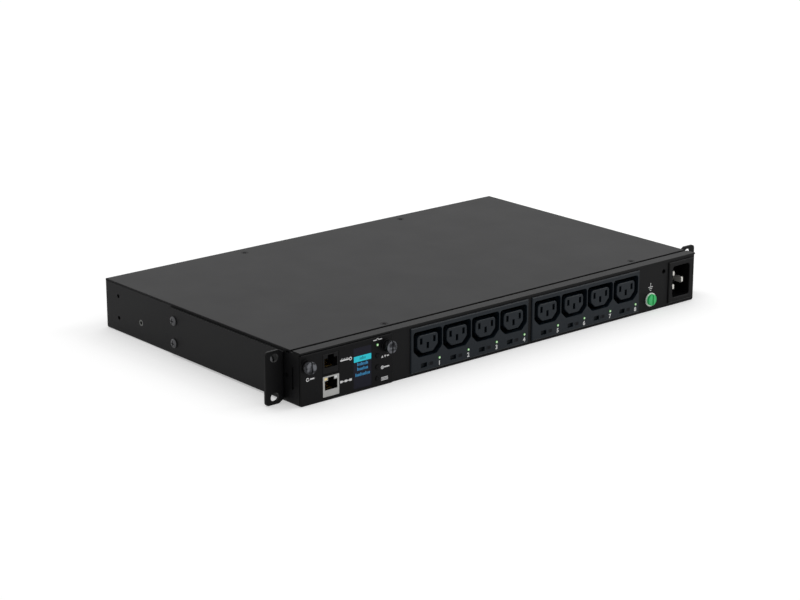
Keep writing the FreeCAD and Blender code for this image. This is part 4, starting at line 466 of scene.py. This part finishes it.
def thicken(piece, thickness):
    """Extrude a flat shape that looks to the front by its thickness and close it."""
    bpy.ops.mesh.select_all(action="SELECT")
    bpy.ops.mesh.extrude_region_move(TRANSFORM_OT_translate={"value": (0.0, -thickness, 0.0)})
    bpy.ops.mesh.select_all(action="SELECT")
    bpy.ops.mesh.normals_make_consistent(inside=False)
    bpy.ops.object.mode_set(mode="OBJECT")
    bpy.ops.object.transform_apply(location=True, rotation=True, scale=True)
    return piece


def stroke(across, up, width, height, y, thickness, corner=0.0):
    """Model one printed stroke, with rounded corners where it has them."""
    fresh()
    bpy.ops.mesh.primitive_plane_add(size=1.0, location=(across, y, up), rotation=FACING_FRONT)
    piece = bpy.context.object
    piece.scale = (width, height, 1.0)
    bpy.ops.object.transform_apply(location=False, rotation=False, scale=True)
    bpy.ops.object.mode_set(mode="EDIT")
    if corner:
        bpy.ops.mesh.select_all(action="SELECT")
        bpy.ops.mesh.bevel(offset=corner, segments=4, affect="VERTICES")
    return thicken(piece, thickness)


def ring(across, up, radius, width, y, thickness, start=0.0, sweep=math.tau):
    """Model a printed ring, or the part of one from a start angle over a sweep."""
    fresh()
    bpy.ops.mesh.primitive_circle_add(
        vertices=32, radius=radius + width / 2, fill_type="NGON",
        location=(across, y, up), rotation=FACING_FRONT,
    )
    piece = bpy.context.object
    bpy.ops.object.mode_set(mode="EDIT")
    bpy.ops.mesh.select_mode(type="FACE")
    bpy.ops.mesh.select_all(action="SELECT")
    bpy.ops.mesh.inset(thickness=width)
    bpy.ops.mesh.delete(type="FACE")
    if sweep < math.tau:
        bpy.ops.object.mode_set(mode="OBJECT")
        for face in piece.data.polygons:
            face.select = (math.atan2(face.center.y, face.center.x) - start) % math.tau > sweep
        bpy.ops.object.mode_set(mode="EDIT")
        bpy.ops.mesh.delete(type="FACE")
    return thicken(piece, thickness)


def arrow(across, up, width, height, y, thickness, down=False):
    """Model a printed triangle that points up or down."""
    fresh()
    turn = math.pi if down else 0.0
    bpy.ops.mesh.primitive_circle_add(
        vertices=3, radius=1.0, fill_type="NGON", location=(across, y, up), rotation=(math.pi / 2, turn, 0.0)
    )
    piece = bpy.context.object
    # An even triangle in a circle of radius 1 is as wide as the root of 3, and 1.5 high
    piece.scale = (width / math.sqrt(3), height / 1.5, 1.0)
    bpy.ops.object.transform_apply(location=False, rotation=False, scale=True)
    bpy.ops.object.mode_set(mode="EDIT")
    return thicken(piece, thickness)


def join(parts):
    """Join modelled strokes into one printed mark."""
    take(*parts)
    bpy.ops.object.join()
    return bpy.context.object


def copies(piece, places):
    """The piece, modelled at the first place, and a copy with its own mesh at each other place."""
    made = [piece]
    for place in places[1:]:
        take(piece)
        bpy.ops.object.duplicate(linked=False)
        bpy.ops.transform.translate(value=(place - places[0], 0.0, 0.0))
        made.append(bpy.context.object)
    return made


def light_places():
    """Places of the outlet lights across, left to right, worked out from the modules and the pipes."""
    low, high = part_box("outlet_light_pipes")
    radius = (high.z - low.z) / 2
    lefts = [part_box(name)[0].x for name in MODULES]
    pitch = (high.x - low.x - 2 * radius - (lefts[1] - lefts[0])) / (OUTLETS_PER_MODULE - 1)
    first = low.x + radius
    return [first + left - lefts[0] + index * pitch for left in lefts for index in range(OUTLETS_PER_MODULE)]


class RACKUNIT_OT_sheet_metal(bpy.types.Operator):
    """Finish the tray, the cover, the panel, the ears and the faceplate"""
    bl_idname = "rackunit.sheet_metal"
    bl_label = "Finish sheet metal"

    def execute(self, context):
        colours = context.scene.rack_unit_colours
        shell = powder_coat("Black powder coat", colours.enclosure)
        dress_nodes(shell, "chassis_tray", "top_cover", "front_panel", "rack_ear_left", "rack_ear_right")
        plate = powder_coat("Satin black paint", colours.faceplate, gloss=0.44, peel_width=1.6)
        dress_nodes(plate, "controller_faceplate")
        dress_nodes(plating("Bright zinc plate", linear("#b9bcb8"), gloss=0.38), "bay_wall")
        return {"FINISHED"}


class RACKUNIT_OT_fasteners(bpy.types.Operator):
    """Finish the screws, the nuts, the inserts and the thumbscrews"""
    bl_idname = "rackunit.fasteners"
    bl_label = "Finish fasteners"

    def execute(self, context):
        colours = context.scene.rack_unit_colours
        oxide = powder_coat("Black oxide steel", linear("#09090a"), gloss=0.5, specular=0.08, peel_width=0.7)
        dress_nodes(oxide, "cover_screws", "panel_side_screws", "thumbscrew_ferrules")
        dress_nodes(plating("Black zinc plate", linear("#4e4e50"), gloss=0.4), "ear_screws")
        zinc = plating("Zinc-plated steel", linear("#b4b6b2"), gloss=0.34)
        dress_nodes(zinc, "cover_posts", "panel_nuts", "standoffs", "board_screws")
        dress_nodes(plating("Dull zinc plate", linear("#5f605e"), gloss=0.5), "side_inserts")
        for name in ("thumbscrew_left", "thumbscrew_right"):
            low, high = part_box(name)
            knob = turned_metal("Dark nickel " + name, colours.thumbscrew, (low + high) / 2)
            dress_nodes(knob, name)
        nylon = moulding("Black nylon", linear("#0a0a0a"))
        dress_nodes(nylon, "thumbscrew_collar_left", "thumbscrew_collar_right")
        dress_nodes(dyed_metal("Green dyed steel", colours.earth), "earth_screw")
        dress_nodes(plating("Tinned washer", linear("#f8f8f5"), gloss=0.5, metallic=0.4), "earth_washer")
        return {"FINISHED"}


class RACKUNIT_OT_mouldings(bpy.types.Operator):
    """Finish the outlet modules, the inlet, the jacks and the buttons"""
    bl_idname = "rackunit.mouldings"
    bl_label = "Finish mouldings"

    def execute(self, context):
        colours = context.scene.rack_unit_colours
        dress_nodes(moulding("Slate polyamide", colours.outlet, gloss=0.42, specular=0.18), *MODULES)
        dress_nodes(moulding("Black polyamide", colours.inlet, gloss=0.42, specular=0.1), "inlet_body")
        jacks = moulding("Black jack moulding", linear("#09090a"), specular=0.12)
        dress_nodes(jacks, "sensor_jack", "ethernet_housing")
        buttons = moulding("Black button moulding", linear("#060607"), gloss=0.45, specular=0.08)
        dress_nodes(buttons, "menu_button_upper", "menu_button_middle", "menu_button_lower")
        dress_nodes(plating("Tinned jack shield", linear("#aaaaa8"), gloss=0.5), "ethernet_shield")
        dress_nodes(plating("Gold-plated wire", linear("#d8b25a"), gloss=0.25), "jack_contacts")
        blade = plating("Nickel-plated blade", linear("#dedcd6"), gloss=0.36, metallic=0.7)
        dress_nodes(blade, "inlet_blades")
        copper = plating("Stamped copper alloy", linear("#b87344"), gloss=0.35)
        dress_nodes(copper, "line_contacts", "neutral_bar", "earth_bar")
        return {"FINISHED"}


class RACKUNIT_OT_lights(bpy.types.Operator):
    """Finish the light pipes, the link lights and the display window, and add hearts to the lights"""
    bl_idname = "rackunit.lights"
    bl_label = "Finish lights"
    # Each step of a heart's dome is this share of the one below it
    dome_steps = (0.8, 0.5)

    def execute(self, context):
        colours = context.scene.rack_unit_colours
        pipe = lit_acrylic("Lit green acrylic", colours.light, strength=0.15)
        dress_nodes(pipe, "outlet_light_pipes", "status_light_pipe")
        low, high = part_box("link_lights")
        dress_nodes(link_acrylic("Clear acrylic over lamps", (low.x + high.x) / 2), "link_lights")
        dress_nodes(smoked_window("Smoked polycarbonate"), "display_window")
        dress_nodes(moulding("Dark screen glass", linear("#0a0d1c"), gloss=0.3), "display_module")
        self.cores(context.scene.rack_unit_sizes)
        return {"FINISHED"}

    def cores(self, sizes):
        """A pale domed heart on the end of each light pipe."""
        heart = lit_acrylic("Lit heart of a light pipe", linear("#bfe6b4"), strength=0.4)
        low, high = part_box("outlet_light_pipes")
        places = light_places()
        first = self.core(places[0], low.y, (low.z + high.z) / 2, sizes)
        for number, piece in enumerate(copies(first, places), 1):
            settle(piece, f"outlet_light_heart_{number}", heart)
        low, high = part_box("status_light_pipe")
        status = self.core((low.x + high.x) / 2, low.y, (low.z + high.z) / 2, sizes)
        settle(status, "status_light_heart", heart)

    def core(self, across, y, up, sizes):
        """A disc raised in two steps to a low dome."""
        fresh()
        bpy.ops.mesh.primitive_circle_add(
            vertices=20, radius=sizes.core_radius, fill_type="NGON",
            location=(across, y, up), rotation=FACING_FRONT,
        )
        piece = bpy.context.object
        bpy.ops.object.mode_set(mode="EDIT")
        bpy.ops.mesh.select_all(action="SELECT")
        for share in self.dome_steps:
            rise = {"value": (0.0, -sizes.print_thickness, 0.0)}
            bpy.ops.mesh.extrude_region_move(TRANSFORM_OT_translate=rise)
            bpy.ops.transform.resize(value=(share, 1.0, share))
        bpy.ops.mesh.select_all(action="SELECT")
        bpy.ops.mesh.normals_make_consistent(inside=False)
        bpy.ops.object.mode_set(mode="OBJECT")
        return piece


class RACKUNIT_OT_inside(bpy.types.Operator):
    """Finish the boards, the leads and the parts on the boards"""
    bl_idname = "rackunit.inside"
    bl_label = "Finish inside"

    def execute(self, context):
        board = laminate("Dark green glass-epoxy board")
        dress_nodes(board, "controller_front_board", "controller_main_board", "backplane_board")
        dress_nodes(board, "relay_board", "supply_board")
        epoxy = moulding("Black epoxy moulding", linear("#141414"))
        dress_nodes(epoxy, "button_switches", "controller_chips", "relays", "current_sensors")
        nylon = moulding("Natural nylon", linear("#c6bfa8"))
        dress_nodes(nylon, "controller_plug", "board_sockets", "terminal_block")
        dress_nodes(insulation("Grey cable jacket", linear("#7d7d7d")), "control_cable")
        dress_nodes(insulation("Brown insulation", linear("#5e3a22")), "inlet_line_lead")
        dress_nodes(insulation("Blue insulation", linear("#2456a8")), "inlet_neutral_lead")
        earth = insulation("Green and yellow insulation", linear("#2f8f36"), linear("#e2cf2c"))
        dress_nodes(earth, "inlet_earth_lead", "earth_bond_lead")
        dress_nodes(moulding("Yellow coil tape", linear("#d8b534"), sand_width=0.6), "supply_transformer")
        dress_nodes(insulation("Dark blue sleeve", linear("#1b2348")), "supply_capacitors")
        return {"FINISHED"}


class RACKUNIT_OT_outlet_numbers(bpy.types.Operator):
    """Print a number under each outlet"""
    bl_idname = "rackunit.outlet_numbers"
    bl_label = "Print outlet numbers"
    # Share of a number's height by which its strokes are made bolder
    boldness = 0.032

    def execute(self, context):
        sizes = context.scene.rack_unit_sizes
        ink = screen_print("White outlet print", context.scene.rack_unit_colours.print_white)
        for number, across in enumerate(light_places(), 1):
            fresh()
            bpy.ops.object.text_add(rotation=FACING_FRONT)
            text = bpy.context.object
            text.data.body = str(number)
            text.data.align_x = "CENTER"
            text.data.align_y = "CENTER"
            text.data.size = sizes.number_height
            text.data.extrude = sizes.print_thickness / 2
            text.data.offset = sizes.number_height * self.boldness
            text.location = (across, FRONT - sizes.print_thickness / 2, UNDERSIDE + sizes.number_rise)
            bpy.ops.object.convert(target="MESH")
            settle(bpy.context.object, f"outlet_number_{number}", ink)
        return {"FINISHED"}


class RACKUNIT_OT_lock_marks(bpy.types.Operator):
    """Model the sloping tongue in each lock recess, darkened with painted shade, and put the lock sign
    beside it in a near-black ink that paints the shade of an embossed sign
    """
    bl_idname = "rackunit.lock_marks"
    bl_label = "Add lock marks"
    # Shares of the lock recess: the tongue's sizes, its middle behind the front plane, and its slope
    tongue_width, tongue_depth, tongue_height = 0.9, 0.5, 0.86
    tongue_set, tongue_slope = 0.7, 0.4
    tongue_edge = 0.12 * MM
    # The padlock's body and shackle, each set across from the middle of the sign
    body_set, body_width, body_height, body_corner = 1.0 * MM, 3.4 * MM, 2.8 * MM, 0.3 * MM
    shackle_set, shackle_radius, shackle_line = -0.9 * MM, 1.0 * MM, 0.5 * MM

    def execute(self, context):
        sizes = context.scene.rack_unit_sizes
        # The tongue takes 0.35 of the outlet colour: painted shade for the dark inside of the lock recess
        shadowed = shade(context.scene.rack_unit_colours.outlet, 0.35)
        shaded_slate = moulding("Lock tongue in painted shade", shadowed, specular=0.08)
        # The padlock sign is real, and its near-black ink is painted shade standing for the shadows of an
        # embossed sign
        ink = screen_print("Painted shade of the lock sign", linear("#0e0f13"), specular=0.1)
        places = [across + sizes.lock_set for across in light_places()]
        for number, piece in enumerate(copies(self.tongue(sizes, places[0]), places), 1):
            settle(piece, f"outlet_lock_tongue_{number}", shaded_slate)
        for number, piece in enumerate(copies(self.padlock(sizes, places[0]), places), 1):
            settle(piece, f"outlet_lock_sign_{number}", ink)
        return {"FINISHED"}

    def tongue(self, sizes, middle):
        """A block whose front slopes back from one end of the recess to the other."""
        fresh()
        depth = FRONT + sizes.lock_depth * self.tongue_set
        bpy.ops.mesh.primitive_cube_add(size=1.0, location=(middle, depth, UNDERSIDE + sizes.lock_rise))
        piece = bpy.context.object
        piece.scale = (sizes.lock_width * self.tongue_width, sizes.lock_depth * self.tongue_depth,
                       sizes.lock_height * self.tongue_height)
        bpy.ops.object.transform_apply(location=True, rotation=True, scale=True)
        bpy.ops.object.mode_set(mode="EDIT")
        bpy.ops.mesh.select_mode(type="VERT")
        bpy.ops.mesh.select_all(action="DESELECT")
        bpy.ops.object.mode_set(mode="OBJECT")
        for vertex in piece.data.vertices:
            vertex.select = vertex.co.x > middle and vertex.co.y < depth
        bpy.ops.object.mode_set(mode="EDIT")
        bpy.ops.transform.translate(value=(0.0, sizes.lock_depth * self.tongue_slope, 0.0))
        bpy.ops.mesh.select_all(action="SELECT")
        bpy.ops.mesh.bevel(offset=self.tongue_edge, segments=2, affect="EDGES")
        bpy.ops.object.mode_set(mode="OBJECT")
        return piece

    def padlock(self, sizes, place):
        """A padlock lying on its side: its body and its shackle."""
        thick = sizes.print_thickness
        middle = place + sizes.lock_sign_set
        up = UNDERSIDE + sizes.lock_rise
        body = stroke(middle + self.body_set, up, self.body_width, self.body_height,
                      FRONT, thick, self.body_corner)
        shackle = ring(middle + self.shackle_set, up, self.shackle_radius, self.shackle_line,
                       FRONT, thick, math.pi / 2, math.pi)
        return join([body, shackle])


class RACKUNIT_OT_earth_sign(bpy.types.Operator):
    """Print the earth sign above the earth screw"""
    bl_idname = "rackunit.earth_sign"
    bl_label = "Print earth sign"
    stem_height = 3.7 * MM
    bar_widths = (5.6 * MM, 3.7 * MM, 1.8 * MM)
    bar_step = 1.55 * MM
    # Share of the usual line width
    fineness = 0.8

    def execute(self, context):
        sizes = context.scene.rack_unit_sizes
        ink = screen_print("White panel print", context.scene.rack_unit_colours.print_white)
        low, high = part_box("earth_screw")
        middle = (low.x + high.x) / 2
        up = UNDERSIDE + sizes.earth_rise
        line, thick = sizes.line_width * self.fineness, sizes.print_thickness
        parts = [stroke(middle, up + self.stem_height / 2, line, self.stem_height, PANEL_FACE, thick)]
        for row, width in enumerate(self.bar_widths):
            parts.append(stroke(middle, up - row * self.bar_step, width, line, PANEL_FACE, thick))
        settle(join(parts), "earth_sign", ink)
        return {"FINISHED"}


class RACKUNIT_OT_faceplate_signs(bpy.types.Operator):
    """Print the signs beside the jacks, the buttons and the status light"""
    bl_idname = "rackunit.faceplate_signs"
    bl_label = "Print faceplate signs"

    def execute(self, context):
        sizes = context.scene.rack_unit_sizes
        self.thick = sizes.print_thickness
        self.line = sizes.line_width
        ink = screen_print("White faceplate print", context.scene.rack_unit_colours.print_white)
        # Control of each sign, and how far the sign is right of its middle and above it, in millimetres
        signs = (
            ("sign_network", self.network, "ethernet_shield", 14.9, 0.475),
            ("sign_sensor", self.sensor, "sensor_jack", 15.1, -0.075),
            ("sign_reset", self.reset, "thumbscrew_collar_left", 3.5, -11.0),
            ("sign_status", self.status, "status_light_pipe", 0.3, 4.1),
            ("sign_scroll", self.scroll, "menu_button_upper", 7.8, -2.0),
            ("sign_select", self.select, "menu_button_middle", 8.0, -1.4),
            ("sign_menu", self.menu, "menu_button_lower", 7.3, -1.4),
        )
        for name, draw, control, right, above in signs:
            low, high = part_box(control)
            middle = (low + high) / (2 * MM)
            settle(join(draw(middle.x + right, middle.z + above)), name, ink)
        return {"FINISHED"}

    def bar(self, across, up, width, height=None, corner=0.0):
        """One stroke on the faceplate, in millimetres."""
        tall = self.line if height is None else height * MM
        return stroke(across * MM, up * MM, width * MM, tall, FRONT, self.thick, corner * MM)

    def hoop(self, across, up, radius, start=0.0, sweep=math.tau):
        """One ring on the faceplate, in millimetres."""
        return ring(across * MM, up * MM, radius * MM, self.line, FRONT, self.thick, start, sweep)

    def point(self, across, up, width, height, down=False):
        """One triangle on the faceplate, in millimetres."""
        return arrow(across * MM, up * MM, width * MM, height * MM, FRONT, self.thick, down)

    def network(self, across, up):
        """Three boxes on a line."""
        parts = [self.bar(across + step * 4.6, up, 2.6, 1.9, 0.3) for step in (-1, 0, 1)]
        return parts + [self.bar(across + step * 2.3, up, 2.0) for step in (-1, 1)]

    def sensor(self, across, up):
        """A probe with its bulb and scale."""
        parts = [self.bar(across - 1.4, up - 0.4, 8.8, 1.1, 0.4), self.hoop(across + 4.5, up - 0.4, 1.1)]
        return parts + [self.bar(across - 4.6 + step * 1.6, up + 0.8, 0.5, 0.9) for step in range(5)]

    def reset(self, across, up):
        """An open ring with an arrow head, and a line."""
        return [self.hoop(across - 2.6, up, 1.2, math.pi * 0.1, math.pi * 1.6),
                self.point(across - 1.4, up - 0.5, 1.5, 1.1, True),
                self.bar(across + 1.9, up, 4.2, 1.1, 0.4)]

    def status(self, across, up):
        """A pulse between two lines."""
        return [self.bar(across - 2.9, up, 3.1), self.bar(across + 2.9, up, 3.1),
                self.bar(across - 0.9, up + 0.45, 0.5, 1.5), self.bar(across, up + 1.0, 2.3, 0.5),
                self.bar(across + 0.9, up + 0.45, 0.5, 1.5)]

    def scroll(self, across, up):
        """Two arrows, up and down, and a line."""
        return [self.point(across - 2.7, up - 0.2, 2.4, 2.0),
                self.point(across + 0.2, up + 0.2, 2.4, 2.0, True),
                self.bar(across + 3.0, up, 2.2, 1.1, 0.4)]

    def select(self, across, up):
        """A ring round a dot, and a line."""
        return [self.hoop(across - 2.9, up, 1.1), self.bar(across - 2.9, up, 0.8, 0.8, 0.3),
                self.bar(across + 1.5, up, 5.4, 1.1, 0.4)]

    def menu(self, across, up):
        """Three lines."""
        return [self.bar(across, up + row * 1.05, 7.0, 0.6) for row in (-1, 0, 1)]


class RACKUNIT_OT_screen(bpy.types.Operator):
    """Light the chosen line and the other lines of the screen"""
    bl_idname = "rackunit.screen"
    bl_label = "Light the screen"
    glow = 0.35
    # Chosen line: its share of the window's width, and its middle above the window's lower edge
    bar_share = 0.97
    bar_rise, bar_height, bar_corner = 24.25 * MM, 4.7 * MM, 0.3 * MM
    # Other lines: their middles above the same edge, and their low and high strokes
    rows = ((19.5 * MM, "hllhlllhl"), (15.6 * MM, "hllllhlll"), (11.0 * MM, "hlllhlllhlll"))
    pitch = 1.25 * MM
    stem = 0.65 * MM
    tall = {"l": 1.9 * MM, "h": 2.6 * MM}

    def execute(self, context):
        sizes = context.scene.rack_unit_sizes
        colours = context.scene.rack_unit_colours
        thick = sizes.print_thickness
        low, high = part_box("display_window")
        middle = (low.x + high.x) / 2
        width = (high.x - low.x) * self.bar_share
        up = low.z + self.bar_rise
        bright = screen_print("Lit screen bar", colours.screen_bar, self.glow)
        bar = stroke(middle, up, width, self.bar_height, SCREEN_FACE, thick, self.bar_corner)
        settle(bar, "screen_bar", bright)
        dim = screen_print("Dim screen word", shade(colours.screen_bar, 0.3), self.glow)
        word = self.word(middle, up, "llhll", SCREEN_FACE - thick, thick)
        settle(word, "screen_bar_word", dim)
        soft = screen_print("Lit screen line", colours.screen_line, self.glow)
        for number, (rise, letters) in enumerate(self.rows, 1):
            line = self.word(middle, low.z + rise, letters, SCREEN_FACE, thick)
            settle(line, f"screen_line_{number}", soft)
        return {"FINISHED"}

    def word(self, middle, up, letters, y, thick):
        """A row of low and high strokes that looks like a word from afar and spells none."""
        parts = []
        for index, letter in enumerate(letters):
            tall = self.tall[letter]
            across = middle + (index - (len(letters) - 1) / 2) * self.pitch
            parts.append(stroke(across, up + (tall - self.tall["l"]) / 2, self.stem, tall, y, thick))
        return join(parts)


class RACKUNIT_OT_stage(bpy.types.Operator):
    """Set the floor, the lights, the world and the camera"""
    bl_idname = "rackunit.stage"
    bl_label = "Set the stage"
    floor_width = 30.0
    # How much paler the floor shows than its colour, and the share of the surround that lights things
    floor_lift = 0.53
    ambient = 0.45
    # Name, place, width and power of each soft box
    boxes = (
        ("overhead box", (0.5, 1.2, 4.0), 6.0, 105.0),
        ("side box", (1.9, -0.8, 2.1), 1.2, 15.0),
    )
    # The photograph's camera, fitted to the unit's corners
    camera_place = (-1.185726, -1.274894, 0.543385)
    camera_azimuth, camera_elevation = math.radians(-40.304), math.radians(16.858)
    camera_lens, camera_sensor = 98.161, 36.0

    def execute(self, context):
        scene = context.scene
        scene.view_settings.view_transform = "Standard"
        self.floor(scene)
        self.world(scene)
        self.lamps()
        self.camera(scene)
        return {"FINISHED"}

    def floor(self, scene):
        """Wide pale floor under the unit."""
        fresh()
        bpy.ops.mesh.primitive_plane_add(size=self.floor_width, location=(0.0, 0.0, UNDERSIDE))
        floor = bpy.context.object
        floor.name = "floor"
        paper = floor_paper("Pale floor paper", scene.rack_unit_colours.floor, self.floor_lift)
        floor.data.materials.append(paper)

    def world(self, scene):
        """Even studio surround, white where the camera, gloss or glass shows it."""
        world = bpy.data.worlds.new("Studio surround")
        scene.world = world
        world.use_nodes = True
        tree = world.node_tree
        tree.nodes.clear()
        strength = node(tree, "ShaderNodeMapRange", {
            "Value": showing(tree), "To Min": self.ambient, "To Max": 1.0,
        })
        surround = node(tree, "ShaderNodeBackground", {
            "Color": linear("#ffffff"), "Strength": strength.outputs["Result"],
        })
        node(tree, "ShaderNodeOutputWorld", {"Surface": surround.outputs["Background"]})

    def lamps(self):
        """A large soft box above and behind, and a smaller one high at the right of the front."""
        for name, place, size, power in self.boxes:
            fresh()
            bpy.ops.object.light_add(type="AREA", location=place)
            lamp = bpy.context.object
            lamp.name = name
            lamp.data.size = size
            lamp.data.energy = power
            lamp.rotation_euler = (-Vector(place)).to_track_quat("-Z", "Y").to_euler()

    def camera(self, scene):
        """Camera fitted to the photograph's perspective."""
        fresh()
        turn = (math.pi / 2 - self.camera_elevation, 0.0, self.camera_azimuth)
        bpy.ops.object.camera_add(location=self.camera_place, rotation=turn)
        camera = bpy.context.object
        camera.data.sensor_width = self.camera_sensor
        camera.data.lens = self.camera_lens
        scene.camera = camera


STEPS = (
    RACKUNIT_OT_sheet_metal,
    RACKUNIT_OT_fasteners,
    RACKUNIT_OT_mouldings,
    RACKUNIT_OT_lights,
    RACKUNIT_OT_inside,
    RACKUNIT_OT_outlet_numbers,
    RACKUNIT_OT_lock_marks,
    RACKUNIT_OT_earth_sign,
    RACKUNIT_OT_faceplate_signs,
    RACKUNIT_OT_screen,
    RACKUNIT_OT_stage,
)


class RACKUNIT_PT_sidebar(bpy.types.Panel):
    """Steps of the rack unit"""
    bl_idname = "RACKUNIT_PT_sidebar"
    bl_label = "Rack power unit"
    bl_space_type = "VIEW_3D"
    bl_region_type = "UI"
    bl_category = "Rack unit"

    def draw(self, context):
        for step in STEPS:
            self.layout.operator(step.bl_idname)


CLASSES = (RackUnitColours, RackUnitSizes, *STEPS, RACKUNIT_PT_sidebar)


def register():
    for item in CLASSES:
        bpy.utils.register_class(item)
    bpy.types.Scene.rack_unit_colours = PointerProperty(type=RackUnitColours)
    bpy.types.Scene.rack_unit_sizes = PointerProperty(type=RackUnitSizes)


def unregister():
    del bpy.types.Scene.rack_unit_sizes
    del bpy.types.Scene.rack_unit_colours
    for item in reversed(CLASSES):
        bpy.utils.unregister_class(item)


def main():
    register()
    bpy.ops.rackunit.sheet_metal()
    bpy.ops.rackunit.fasteners()
    bpy.ops.rackunit.mouldings()
    bpy.ops.rackunit.lights()
    bpy.ops.rackunit.inside()
    bpy.ops.rackunit.outlet_numbers()
    bpy.ops.rackunit.lock_marks()
    bpy.ops.rackunit.earth_sign()
    bpy.ops.rackunit.faceplate_signs()
    bpy.ops.rackunit.screen()
    bpy.ops.rackunit.stage()


if __name__ == "__main__":
    main()
